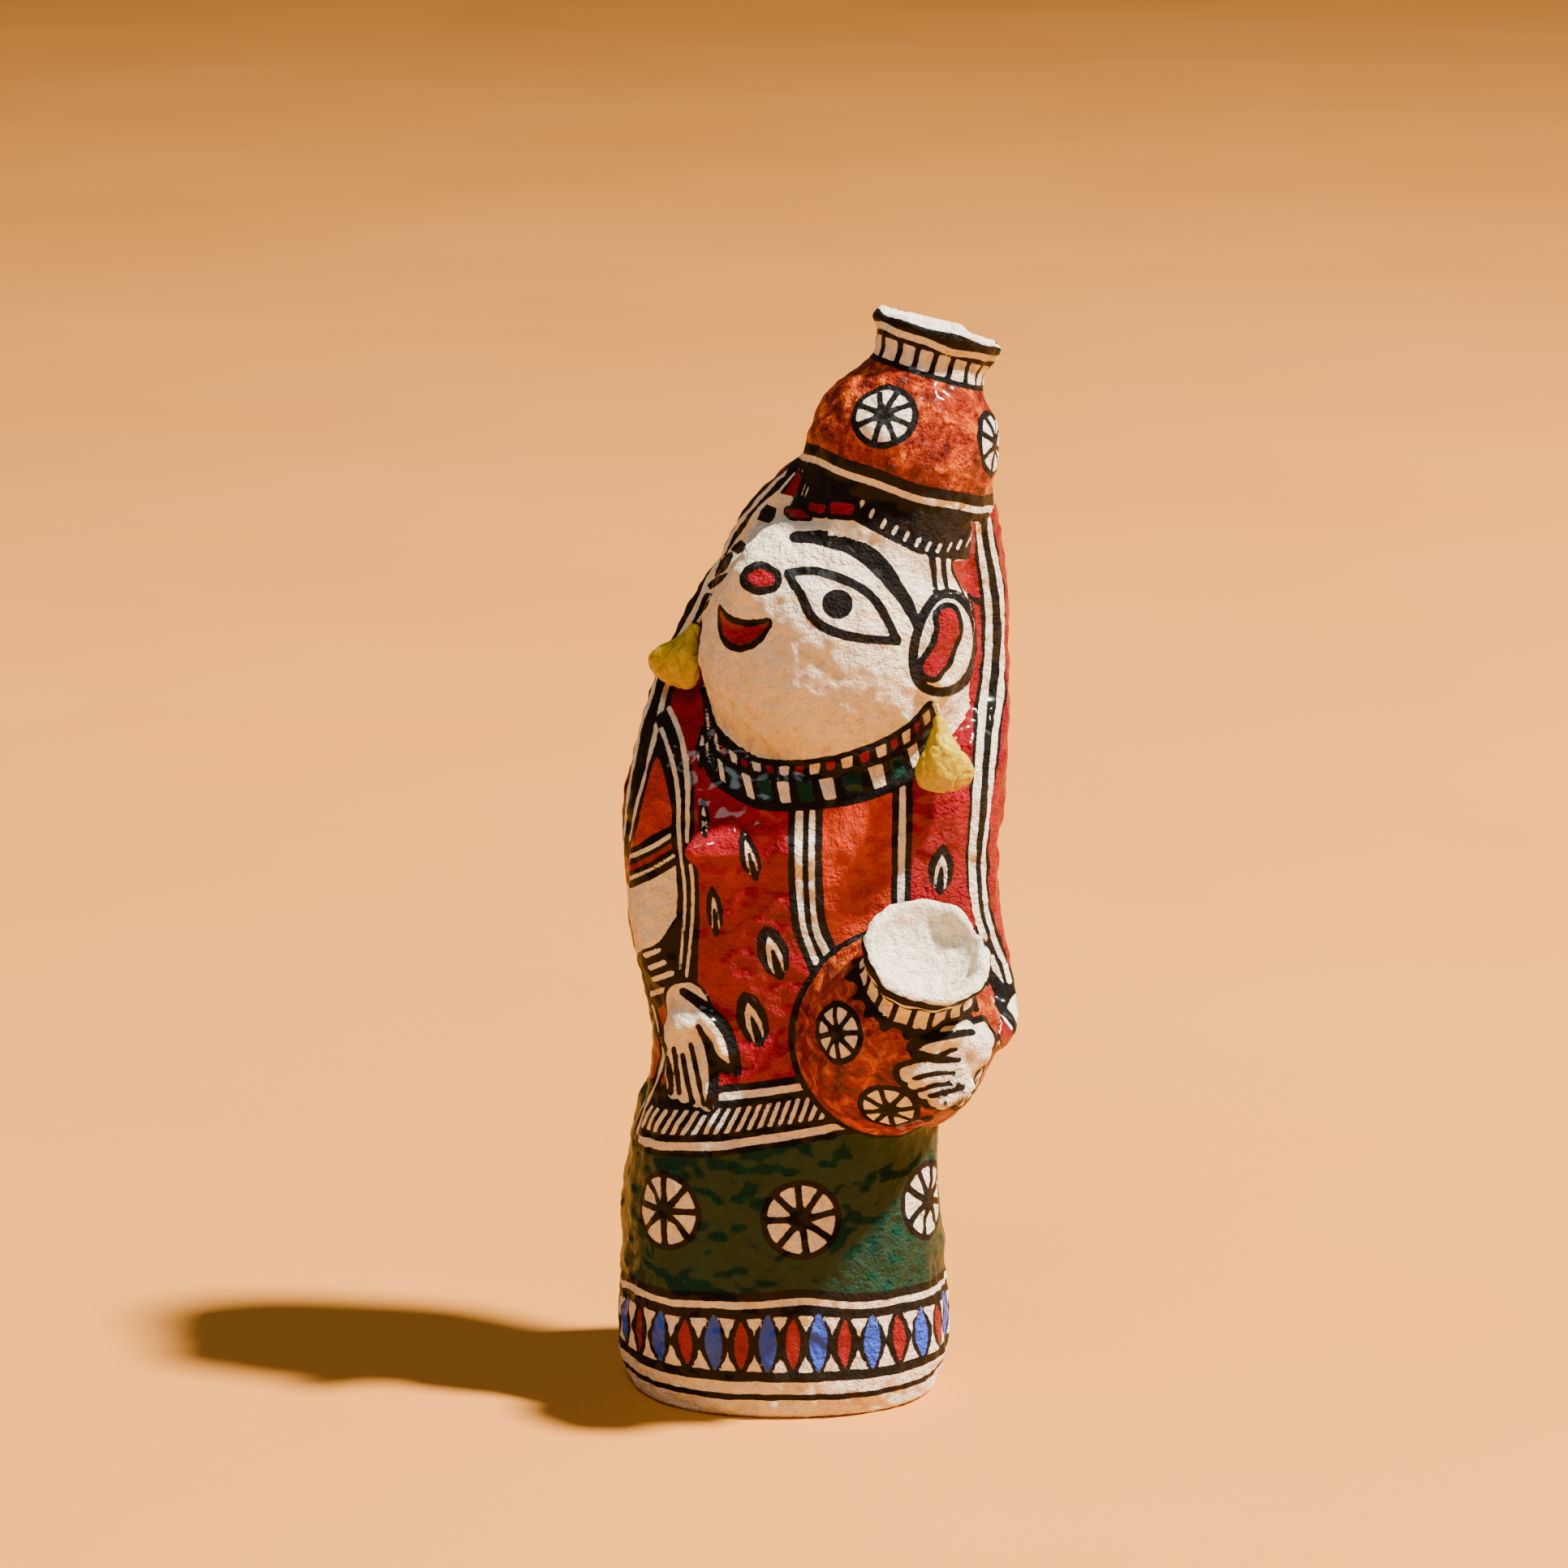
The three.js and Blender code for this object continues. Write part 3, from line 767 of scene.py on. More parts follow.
WRIST_BLACK = [(786, 1176), (812, 1162), (836, 1128), (842, 1150), (845, 1215), (824, 1232), (803, 1243),
               (793, 1210)]
BANGLES = [((786, 1181), (811, 1171)), ((792, 1196), (818, 1186)), ((797, 1210), (828, 1199)),
           ((802, 1225), (833, 1214))]
ORANGE_FRONT = [(1008, 985), (1058, 985), (1106, 966), (1110, 1040), (1108, 1120), (1070, 1170),
                (1024, 1200), (1012, 1140), (1006, 1070)]
CHEST_MIDDLE = [(993, 985), (992, 1065), (994, 1107), (998, 1143), (1014, 1182), (1022, 1200)]
CHEST_STRIPE_LEFT = [(985, 995), (984, 1065), (986, 1107), (990, 1143), (1000, 1172), (1010, 1194)]
CHEST_STRIPE_RIGHT = [(1001, 995), (1000, 1065), (1001, 1107), (1005, 1143), (1014, 1166), (1023, 1182)]
SHOULDER_STRIPE = [(1112, 955), (1112, 1000), (1111, 1050), (1110, 1120)]
VEIL_RIGHT_A = [(1204, 640), (1209, 680), (1215, 719), (1219, 763), (1217, 820), (1211, 868), (1209, 898),
                (1202, 1000), (1198, 1060), (1202, 1115), (1211, 1150), (1222, 1180), (1237, 1221)]
VEIL_RIGHT_B = [(1219, 641), (1224, 676), (1232, 715), (1236, 763), (1235, 820), (1232, 868), (1227, 898),
                (1218, 1000), (1212, 1060), (1214, 1108), (1220, 1139), (1228, 1165), (1238, 1187),
                (1244, 1208)]
VEIL_RIGHT_MIDDLE = [(1211, 634), (1216, 678), (1223, 717), (1227, 763), (1226, 820), (1221, 868),
                     (1218, 898), (1210, 1000), (1206, 1060), (1210, 1112), (1218, 1148), (1229, 1180),
                     (1241, 1216)]
BREAST_WAY = ((-13.0, -19.0, 134.3), (-22.5, -27.0, 135.2))
LEAVES = [((866, 893), (863, 948), 2.7), ((866, 982), (868, 1034), 2.7), ((914, 1019), (932, 1086), 4.6),
          ((877, 1090), (883, 1154), 3.9), ((942, 1138), (962, 1206), 7.0), ((916, 1219), (937, 1288), 7.2),
          ((1162, 1038), (1158, 1101), 6.2)]
PANEL_EDGE = [(804, 1240), (812, 1268), (818, 1296), (810, 1330), (796, 1362), (785, 1396)]
GREEN_BEHIND = [(806, 1262), (800, 1300), (788, 1330), (776, 1372), (770, 1420), (745, 1420), (745, 1290)]


def paint_veil(coat, parts):
    """The red veil and dress with their pale double borders, and leaves on the back."""
    body = parts.body
    height = coat.points[:, 2]
    coat.band("red", height, VEIL_HEM, ABOVE_ALL, body)
    coat.band("red", parts.waist, DRESS_HEM, ABOVE_ALL, body & (np.abs(parts.angle) < FRONT_ANGLE))
    behind = body & (np.abs(parts.angle) > PANEL_EDGE_ANGLE)
    for colour, low, high in BACK_LINES:
        coat.band(colour, height, low, high, behind)
    for across in BACK_LEAVES_ACROSS:
        for row, level in enumerate(BACK_LEAVES_UP):
            shift = BACK_LEAF_SHIFT if row % 2 else 0
            hit = coat.surface.inward((across + shift, 60, level), (0, -1, 0))
            if hit is not None and hit[1] > 8:
                paint_back_leaf(coat, hit)


def paint_back_leaf(coat, centre):
    shares = (-1, -0.5, 0, 0.5, 1)
    path = [coat.surface.snap(centre + (0, 0, BACK_LEAF_HALF * share)) for share in shares]
    coat.stroke("black", path, (1.2, 4.6, 5.2, 3.2, 0.6))
    coat.stroke("white", path[1:], (1.2, 2.5, 1.6, 0.4))
    coat.stroke("black", path[:3], (0.8, 1.2, 1.0))


def paint_front(coat, parts):
    body = parts.body & parts.front
    coat.fill("orange", ORANGE_FRONT, body)
    coat.seen_stroke("black", CHEST_MIDDLE, 7.6, body)
    coat.seen_stroke("white", CHEST_STRIPE_LEFT, (1.8, 1.8, 1.3, 1.5), body)
    coat.seen_stroke("white", CHEST_STRIPE_RIGHT, (1.3, 1.5, 1.2, 1.9), body)
    coat.seen_stroke("black", SHOULDER_STRIPE, 4.4, body)
    coat.seen_stroke("white", SHOULDER_STRIPE, (1.3, 1.7, 1.7), body)
    for top, bottom, width in LEAVES:
        paint_leaf(coat, top, bottom, width, body)


def paint_borders(coat, parts):
    body = parts.body
    coat.seen_stroke("black", VEIL_TOP_BAND, (6.0, 9.5, 10.0, 9.5, 8.5, 8.0), body)
    coat.seen_stroke("white", VEIL_TOP_WHITE, (1.6, 2.0, 1.7, 1.5, 1.6, 1.7), body)
    coat.seen_stroke("white", VEIL_TOP_INNER, (1.0, 1.5, 1.5, 1.0), body)
    coat.seen_stroke("black", VEIL_LEFT_BAND, (7.0, 8.2, 9.2, 8.6, 6.0), body)
    coat.fill("black", SLEEVE_BLACK, body & parts.front)
    for line in VEIL_LEFT_WHITES:
        coat.seen_stroke("white", line, (1.3, 1.6, 1.6, 1.2), body)
    coat.fill("orange", ORANGE_SLEEVE, body & parts.front)
    coat.fill("white", UPPER_ARM_SKIN, body & parts.front)
    for colour, right, left, width in SLEEVE_BAND:
        coat.seen_stroke(colour, [(832, right), (805, (right + left) / 2 + 2), (776, left)], width, body)
    coat.fill("black", WRIST_BLACK, body & parts.front)
    arm = body & (gap_to_path(coat.points, BREAST_WAY, (7.0, 3.0)) > 0.5)
    coat.seen_stroke("black", SLEEVE_MIDDLE, (4.6, 5.8, 5.4, 5.2, 6.4), arm)
    coat.seen_stroke("white", SLEEVE_OUTER, (1.2, 1.3, 1.0, 0.8, 0.7), arm)
    coat.seen_stroke("white", SLEEVE_INNER, (1.0, 1.1, 0.8, 0.6), arm)
    for start, end in BANGLES:
        coat.seen_stroke("white", [start, end], 1.25, body)
    coat.fill("green", GREEN_BEHIND, body & parts.front)
    coat.seen_stroke("black", PANEL_EDGE, 3.4, body)
    coat.seen_stroke("white", PANEL_EDGE, 1.2, body)


def paint_right_border(coat, parts):
    free = ~parts.head_pot & ~parts.hip_pot & (ear_size(head_measures(coat.points)) > EAR_CLEAR)
    coat.seen_stroke("black", VEIL_RIGHT_MIDDLE, (6.6, 7.6, 7.4, 6.8, 6.0), free)
    coat.seen_stroke("white", VEIL_RIGHT_A, (1.6, 1.9, 2.1, 1.6), free)
    coat.seen_stroke("white", VEIL_RIGHT_B, (1.6, 1.9, 1.7, 1.6), free)


# Hands.
RIGHT_SLITS = [[(830, 1292), (834, 1318), (837, 1345)], [(841, 1300), (846, 1328), (853, 1358)],
               [(851, 1287), (859, 1322), (867, 1360)]]
RIGHT_THUMB_SLIT = [(862, 1266), (871, 1283), (884, 1304), (896, 1318)]
RIGHT_THUMB_OUTLINE = [(842, 1222), (862, 1236), (880, 1252), (894, 1270), (904, 1298), (908, 1320)]
RIGHT_HAND_EDGES = [[(866, 1275), (874, 1300), (878, 1330), (874, 1362)],
                    [(808, 1240), (817, 1280), (824, 1320), (826, 1345)]]
LEFT_SLITS = [[(1127, 1329), (1150, 1323), (1176, 1322)], [(1133, 1343), (1152, 1337), (1172, 1336)],
              [(1146, 1351), (1162, 1346), (1178, 1343)]]
LEFT_HAND_OUTLINE = [(1199, 1271), (1166, 1276), (1140, 1280), (1124, 1290)]
LEFT_HAND_UNDER = [(1132, 1300), (1156, 1305), (1182, 1306)]
HAND_EDGES = {"right": (1.3, 0.55), "left": (1.9, 0.5)}


def paint_skin(coat, gap, edges):
    """A pale hand in a black outline; edges are how far each reaches out from the limbs."""
    black, white = edges
    near = np.flatnonzero(gap < 4)
    coat.lay("black", gap[near] - black, near)
    coat.lay("white", gap[near] - white, near)


def paint_hands(coat, parts):
    paint_skin(coat, parts.right_hand_gap, HAND_EDGES["right"])
    coat.seen_stroke("black", RIGHT_THUMB_OUTLINE, (1.8, 2.4, 2.8, 2.2))
    coat.seen_stroke("black", RIGHT_THUMB_SLIT, (1.6, 2.2, 2.6, 2.0))
    for slit in RIGHT_SLITS:
        coat.seen_stroke("black", slit, (0.9, 1.2, 1.3))
    for edge in RIGHT_HAND_EDGES:
        coat.seen_stroke("black", edge, (1.0, 1.4, 1.6))
    paint_skin(coat, parts.left_hand_gap, HAND_EDGES["left"])
    coat.seen_stroke("black", LEFT_HAND_OUTLINE, (1.4, 1.8, 2.6))
    coat.seen_stroke("black", LEFT_HAND_UNDER, (2.2, 1.8, 1.0))
    for slit in LEFT_SLITS:
        coat.seen_stroke("black", slit, (1.1, 1.0, 0.6))


# The left elbow, with its cuff.
ELBOW_BLACK = [(1221, 1195), (1236, 1212), (1252, 1218), (1258, 1262), (1252, 1278), (1236, 1300),
               (1226, 1306), (1213, 1268), (1217, 1240), (1211, 1214)]
ELBOW_ORANGE = [(1219, 1210), (1227, 1232), (1222, 1250), (1213, 1222)]
ELBOW_WHITE = [(1251, 1224), (1263, 1234), (1264, 1254), (1257, 1267), (1248, 1250), (1241, 1242)]
ELBOW_RED = [(1228, 1258), (1244, 1260), (1249, 1278), (1235, 1296), (1232, 1276)]
CUFF_STRIPES = [("white", (1225, 1264), (1231, 1293), 1.2), ("black", (1215, 1266), (1224, 1302), 2.2),
                ("white", (1235, 1252), (1252, 1274), 1.1)]


def paint_elbow(coat, parts):
    sleeve = parts.front & ~parts.hip_pot & (parts.left_hand_gap > HAND_SKIN)
    coat.fill("black", ELBOW_BLACK, sleeve)
    coat.fill("orange", ELBOW_ORANGE, sleeve)
    coat.fill("white", ELBOW_WHITE, sleeve)
    coat.fill("red", ELBOW_RED, sleeve)
    for colour, start, end, width in CUFF_STRIPES:
        coat.seen_stroke(colour, [start, end], width, sleeve)


# The collar of two rows round the neck.
COLLAR_UPPER = [(866, 850), (874, 872), (886, 910), (917, 932), (954, 940), (997, 938), (1039, 930),
                (1087, 913), (1120, 893), (1146, 866)]
COLLAR_ROW = [(868, 902), (876, 922), (892, 937), (920, 950), (956, 958), (995, 958), (1041, 950),
              (1089, 935), (1122, 916), (1150, 888)]
COLLAR_LOWER = [(871, 938), (879, 957), (900, 974), (930, 990), (962, 994), (1002, 992), (1050, 986),
                (1098, 970), (1130, 949), (1156, 918)]
COLLAR_SMALL = 20
COLLAR_LARGE = 14
SMALL_HALF = 0.0175
LARGE_HALVES = {"green": 0.029, "white": 0.021}
SMALL_ROWS = (0.24, 0.86)
LARGE_ROWS = (0.14, 0.88)
CHIN_SHADE = 12


def between(upper, lower, along, across):
    """A pixel between two curves: along from end to end, and across from one to the other."""
    steps = np.linspace(0, 1, len(upper))
    start, end = ([np.interp(along, steps, values) for values in zip(*side)] for side in (upper, lower))
    return (1 - across) * np.array(start) + across * np.array(end)


def collar_block(upper, lower, middle, half, rows):
    """The four corners of a block between two lines of the collar."""
    left, right = middle - half, middle + half
    corners = ((left, rows[0]), (right, rows[0]), (right - 0.004, rows[1]), (left + 0.004, rows[1]))
    return [between(upper, lower, along, across) for along, across in corners]


def paint_collar(coat, parts):
    skin = parts.front & (parts.body | parts.head)
    # Painted shade: a black band CHIN_SHADE pixels tall above the collar stands for the chin's shadow on
    # the neck.
    under_chin = [(x, y - CHIN_SHADE) for x, y in COLLAR_UPPER]
    coat.fill("black", under_chin + COLLAR_UPPER[::-1], parts.body & parts.front)
    coat.fill("black", COLLAR_UPPER + COLLAR_LOWER[::-1], skin)
    coat.seen_stroke("black", COLLAR_UPPER, 1.2, skin)
    coat.seen_stroke("black", COLLAR_LOWER, 1.8, skin)
    for k in range(COLLAR_SMALL):
        middle = (k + 0.5) / COLLAR_SMALL
        block = collar_block(COLLAR_UPPER, COLLAR_ROW, middle, SMALL_HALF, SMALL_ROWS)
        coat.fill(("red", "white")[k % 2], block, skin, straight=True)
    for k in range(COLLAR_LARGE):
        middle = (k + 0.5) / COLLAR_LARGE
        colour = ("white", "green")[k % 2]
        block = collar_block(COLLAR_ROW, COLLAR_LOWER, middle, LARGE_HALVES[colour], LARGE_ROWS)
        coat.fill(colour, block, skin, straight=True)


# The face.
BROW = [(981, 661), (1016, 664), (1058, 677), (1087, 701), (1109, 731), (1123, 754), (1130, 774)]
BROW_WIDTHS = (3.0, 3.6, 4.1, 4.2, 3.8, 2.9, 1.3)
EYE_WIDTHS = (1.7, 2.0, 1.9, 1.7)
EYE_UPPER = [(971, 706), (994, 703), (1016, 706), (1053, 720), (1081, 743), (1106, 789)]
EYE_LOWER = [(971, 706), (978, 720), (986, 731), (1000, 760), (1022, 776), (1058, 786), (1106, 790)]
IRIS = (1032, 744)
IRIS_RADIUS = 3.3
NOSTRIL = [(927, 712), (936, 712), (946, 714)]
NOSTRIL_BLACK = (6.2, 7.6, 6.2)
NOSTRIL_RED = (2.6, 4.4, 3.4)
MOUTH = [(887, 752), (896, 774), (912, 783), (930, 779), (946, 768)]
MOUTH_BLACK = (2.4, 6.0, 7.8, 6.0, 2.4)
MOUTH_RED = (0.8, 3.4, 5.0, 3.4, 0.8)
FORWARD = 0.25
EAR_REACH = 24
FAR_SIDE_WHITE = [(960, 608), (939, 627), (922, 645), (909, 662), (901, 674), (886, 693), (872, 714),
                  (866, 730), (898, 732), (920, 694), (942, 664), (968, 636), (978, 612)]
FAR_SIDE_MARKS = [[(945, 622), (956, 627), (954, 638), (947, 644), (934, 640), (938, 629)],
                  [(913, 666), (919, 671), (916, 678), (910, 682), (901, 677)],
                  [(901, 680), (903, 685), (893, 703), (881, 710), (889, 691)],
                  [(896, 706), (890, 715), (875, 726), (872, 721), (884, 711)]]
BINDI = [(968, 628), (983, 634), (997, 638)]
BINDI_BLACK = (1.6, 4.6, 1.6)
BINDI_RED = (0.6, 3.0, 0.6)
EAR_OUTER = [(1167, 731), (1184, 737), (1198, 755), (1204, 779), (1203, 805), (1195, 830), (1180, 847),
             (1160, 853), (1140, 848), (1128, 833), (1125, 810), (1129, 784), (1138, 758), (1151, 738)]
EAR_LINE = 2.0
EAR_BEAN = [(1169, 762), (1170, 779), (1161, 804), (1149, 822)]
BEAN_BLACK = (7.2, 8.0, 7.6, 7.0)
BEAN_RED = (5.0, 5.6, 5.2, 4.6)
SIDEBURN = [[(1148, 680), (1151, 706), (1153, 730)], [(1162, 682), (1163, 704), (1167, 726)],
            [(1176, 684), (1174, 700), (1186, 728), (1206, 742)]]
TEMPLE_RED = [(1172, 692), (1186, 690), (1201, 688), (1206, 714), (1207, 738), (1188, 728), (1178, 711)]


def both_sides(surface, path):
    """A path on the face and its match on the other side of the head."""
    measures = head_measures(path)
    mirrored = head_place(measures * (1, -1, 1))
    return [path, np.array([surface.snap(place) for place in mirrored])]


def paint_face(coat, parts):
    surface = coat.surface
    face = parts.head & (surface.normals[:, 1] < FORWARD)
    middle = surface.touch(EAR_BEAN[len(EAR_BEAN) // 2])
    ear = parts.front & (np.linalg.norm(coat.points - middle, axis=1) < EAR_REACH)
    for path in both_sides(surface, surface.seen(BROW)):
        coat.stroke("black", path, BROW_WIDTHS, face)
    for line in (EYE_UPPER, EYE_LOWER):
        for path in both_sides(surface, surface.seen(line)):
            coat.stroke("black", path, EYE_WIDTHS, face)
    for centre in both_sides(surface, np.array([surface.touch(IRIS)])):
        coat.disc("black", centre[0], IRIS_RADIUS, face)
    coat.seen_stroke("black", NOSTRIL, NOSTRIL_BLACK, face)
    coat.seen_stroke("red", NOSTRIL, NOSTRIL_RED, face)
    coat.seen_stroke("black", MOUTH, MOUTH_BLACK, face)
    coat.seen_stroke("red", MOUTH, MOUTH_RED, face)
    coat.fill("white", FAR_SIDE_WHITE, parts.front, straight=True)
    for outline in FAR_SIDE_MARKS:
        coat.fill("black", outline, parts.front)
    coat.seen_stroke("black", BINDI, BINDI_BLACK, face)
    coat.seen_stroke("red", BINDI, BINDI_RED, face)
    coat.fill("white", EAR_OUTER, ear)
    coat.ring("black", EAR_OUTER, EAR_LINE, ear)
    coat.seen_stroke("black", EAR_BEAN, BEAN_BLACK, ear)
    coat.seen_stroke("red", EAR_BEAN, BEAN_RED, ear)
    for line in SIDEBURN:
        coat.seen_stroke("black", line, (1.5, 1.3, 1.1), parts.front)
    coat.fill("red", TEMPLE_RED, parts.front & (ear_size(head_measures(coat.points)) > EAR_CLEAR))


# Hair.
HAIRLINE_ANGLES = (-180, -70, -25, 24, 90, 180)
HAIRLINE_HEIGHTS = (-21.0, -20.4, -18.4, -21.4, -20.6, -21.0)
HAIR_FOOT = -24
HAIR_DASHES = [(1061, 622), (1074, 633), (1089, 645), (1103, 653), (1117, 661), (1131, 668),
               (1144, 673), (1157, 675), (1170, 674), (1182, 671), (1193, 668)]
HALF_DASH = (2, -4)
ORNAMENTS = [((1026, 626), (1046, 627), 3.0), ((1000, 625), (1013, 627), 2.2)]
BROWN_LOCK = [(982, 577), (988, 588), (981, 611), (964, 611)]
STRANDS = [("black", (986, 571), (962, 611), 1.0), ("white", (978, 584), (957, 609), 0.8),
           ("white", (989, 568), (985, 578), 0.5), ("white", (991, 573), (987, 584), 0.5),
           ("white", (992, 597), (988, 611), 0.5), ("white", (996, 601), (992, 612), 0.5)]


def paint_hair(coat, parts):
    line = np.interp(parts.head_angle, HAIRLINE_ANGLES, HAIRLINE_HEIGHTS)
    crown = parts.hair | (parts.head & (parts.head_height > HAIR_FOOT))
    near = np.flatnonzero(crown)
    coat.lay("black", (line - parts.head_height)[near], near)
    for centre in HAIR_DASHES:
        middle = np.array(centre, float)
        coat.seen_stroke("white", [middle - HALF_DASH, middle + HALF_DASH], 0.9, crown)
    for start, end, width in ORNAMENTS:
        coat.seen_stroke("black", [start, end], width + 2.0, crown)
        coat.seen_stroke("red", [start, end], width, crown)
    coat.fill("red", BROWN_LOCK, parts.front, straight=True)
    for colour, start, end, width in STRANDS:
        coat.seen_stroke(colour, [start, end], width, parts.front)


# The pots.
# A wheel is its angle round the pot, its height and its radius; a line is a height to a height.
HEAD_POT_WHEELS = [(-23, 6.2, 7.7), (67, 6.4, 7.7), (157, 6.2, 7.7), (-113, 6.4, 7.7)]
HEAD_POT_BROWN = (-7.6, 17.4)
HEAD_POT_LINES = [(-8.3, -6.0), (-16.0, -10.2)]
HEAD_POT_CELLS = (17.7, 22.3)
HIP_POT_WHEELS = [(-49, 12.2, 7.2), (2, 1.6, 7.2), (56, 3.6, 6.6)]
HIP_POT_CELLS = (21.9, 27.3)
NECK_CELLS = 18
CELL_ROUND = 13.5
BAR_HALF = 1.62


def on_pot(surface, pot, angle, height):
    axis, facing, right = pot_axes(pot)
    turn = math.radians(angle)
    way = math.sin(turn) * right + math.cos(turn) * facing
    return surface.inward(np.array(pot["centre"]) + axis * height + way * 60, -way)


def neck_cells(coat, angle, height, ends, on):
    """Pale cells round a pot's neck, parted by black bars."""
    low, high = ends
    near = np.flatnonzero(on)
    pitch = 360 / NECK_CELLS
    wander = 1.6 * np.sin(np.radians(angle[near] * 3))
    off = np.abs(((angle[near] + wander) % pitch) - pitch / 2)
    side = np.radians(off) * CELL_ROUND - BAR_HALF
    level = np.maximum(low - height[near], height[near] - high)
    coat.lay("white", np.maximum(side, level), near)


def pot_wheels(coat, pot, wheels, on, turn):
    for angle, height, radius in wheels:
        paint_wheel(coat, on_pot(coat.surface, pot, angle, height), radius, on, turn)


def paint_head_pot(coat, parts):
    on = parts.head_pot
    outer = on & parts.head_outer
    height = parts.head_height
    waver = np.radians(parts.head_angle)
    waver = 0.3 * np.sin(3 * waver + 1) + 0.2 * np.sin(7 * waver)
    coat.band("pot", height, *HEAD_POT_BROWN, on)
    for low, high in HEAD_POT_LINES:
        coat.band("black", height + waver, low, high, on)
    coat.band("black", height, 16.6, 27.2 + waver, outer)
    coat.band("white", height + waver, 23.3, 24.9, outer)
    neck_cells(coat, parts.head_angle, height, HEAD_POT_CELLS, outer)
    pot_wheels(coat, HEAD_POT, HEAD_POT_WHEELS, on, 0.35)


def paint_hip_pot(coat, parts):
    on = parts.hip_pot
    outer = on & parts.hip_outer
    height = parts.hip_height
    angle = parts.hip_angle
    near = np.flatnonzero((parts.body | on) & (parts.hip_gap < 4) & (height > -27) & (height < 30))
    coat.lay("black", np.maximum(parts.hip_gap - 2.0, height - 23)[near], near)
    coat.lay("pot", np.maximum(parts.hip_gap - 0.9, height - 20.6)[near], near)
    scallop = 20.2 - 0.9 * np.cos(np.radians(angle * NECK_CELLS))
    coat.band("black", height, scallop, 32.2, outer)
    coat.band("white", height, 28.4, 29.8, outer)
    neck_cells(coat, angle, height, HIP_POT_CELLS, outer)
    pot_wheels(coat, HIP_POT, HIP_POT_WHEELS, on, 0.25)


def paint_figure(surface):
    coat = Coat(surface)
    parts = Regions(surface.points, surface.normals)
    paint_skirt(coat, parts)
    paint_veil(coat, parts)
    paint_waist(coat, parts)
    paint_front(coat, parts)
    paint_borders(coat, parts)
    near = np.flatnonzero(parts.head | parts.hair | parts.head_pot | parts.hip_pot)
    coat.lay("white", np.full(len(near), -2.0), near)
    paint_hair(coat, parts)
    paint_right_border(coat, parts)
    paint_collar(coat, parts)
    paint_face(coat, parts)
    paint_head_pot(coat, parts)
    paint_hip_pot(coat, parts)
    paint_elbow(coat, parts)
    paint_hands(coat, parts)
    return coat


# Materials.
class Wire:
    """A node socket in a material; sums of wires and numbers make Math nodes."""

    def __init__(self, tree, socket=None):
        self.tree = tree
        self.socket = socket

    def node(self, kind, settings, inputs, out=0):
        """Makes a node: its settings first, then the values or wires of its sockets."""
        made = self.tree.nodes.new(kind)
        for name, value in settings.items():
            if name == "stops":
                ramp_stops = made.color_ramp.elements
                ramp_stops[0].position, ramp_stops[0].color = value[0]
                ramp_stops[1].position, ramp_stops[1].color = value[-1]
                for place, colour in value[1:-1]:
                    ramp_stops.new(place).color = colour
            else:
                setattr(made, name, value)
        for name, value in inputs.items():
            socket = find_socket(made.inputs, name)
            if isinstance(value, Wire):
                self.tree.links.new(value.socket, socket)
            else:
                socket.default_value = value
        return Wire(self.tree, find_socket(made.outputs, out)) if len(made.outputs) else made

    def math(self, operation, *others, clamp=False):
        values = dict(enumerate((self,) + others))
        return self.node("ShaderNodeMath", {"operation": operation, "use_clamp": clamp}, values)

    def __add__(self, other):
        return self.math("ADD", other)

    def __radd__(self, other):
        return self.math("ADD", other)

    def __sub__(self, other):
        return self.math("SUBTRACT", other)

    def __rsub__(self, other):
        return self.node("ShaderNodeMath", {"operation": "SUBTRACT"}, {0: other, 1: self})

    def __mul__(self, other):
        return self.math("MULTIPLY", other)

    def __rmul__(self, other):
        return self.math("MULTIPLY", other)

    def __truediv__(self, other):
        return self.math("DIVIDE", other)


def find_socket(sockets, name):
    if isinstance(name, int):
        return sockets[name]
    return next(socket for socket in sockets if name in (socket.identifier, socket.name))


def new_material(name):
    material = bpy.data.materials.new(name)
    material.use_nodes = True
    material.node_tree.nodes.clear()
    return material, Wire(material.node_tree)


def blend(share, under, over):
    """One colour over another, by a share."""
    source = share if isinstance(share, Wire) else under
    return source.node("ShaderNodeMix", {"data_type": "RGBA"},
                       {"Factor_Float": share, "A_Color": under, "B_Color": over}, "Result_Color")


def object_place(start):
    return start.node("ShaderNodeTexCoord", {}, {}, "Object")


def grain(place, size, detail=2.0, rough=0.5, warp=0.0):
    """Noise from 0 to 1 with lumps of a size in millimetres."""
    return place.node("ShaderNodeTexNoise", {},
                      {"Vector": place, "Scale": 1 / (size * MM), "Detail": detail, "Roughness": rough,
                       "Distortion": warp}, "Fac")


def colour_ramp(value, stops):
    return value.node("ShaderNodeValToRGB", {"stops": stops}, {"Fac": value}, "Color")


def attribute(start, name):
    return start.node("ShaderNodeAttribute", {"attribute_name": name}, {}, "Fac")


def bumps(height, distance):
    return height.node("ShaderNodeBump", {}, {"Height": height, "Distance": distance * MM}, "Normal")


def finish_material(start, sockets):
    shader = start.node("ShaderNodeBsdfPrincipled", {}, sockets, "BSDF")
    start.node("ShaderNodeOutputMaterial", {}, {"Surface": shader})


EDGE_SOFTNESS = 0.16
EDGE_WANDER = 0.34
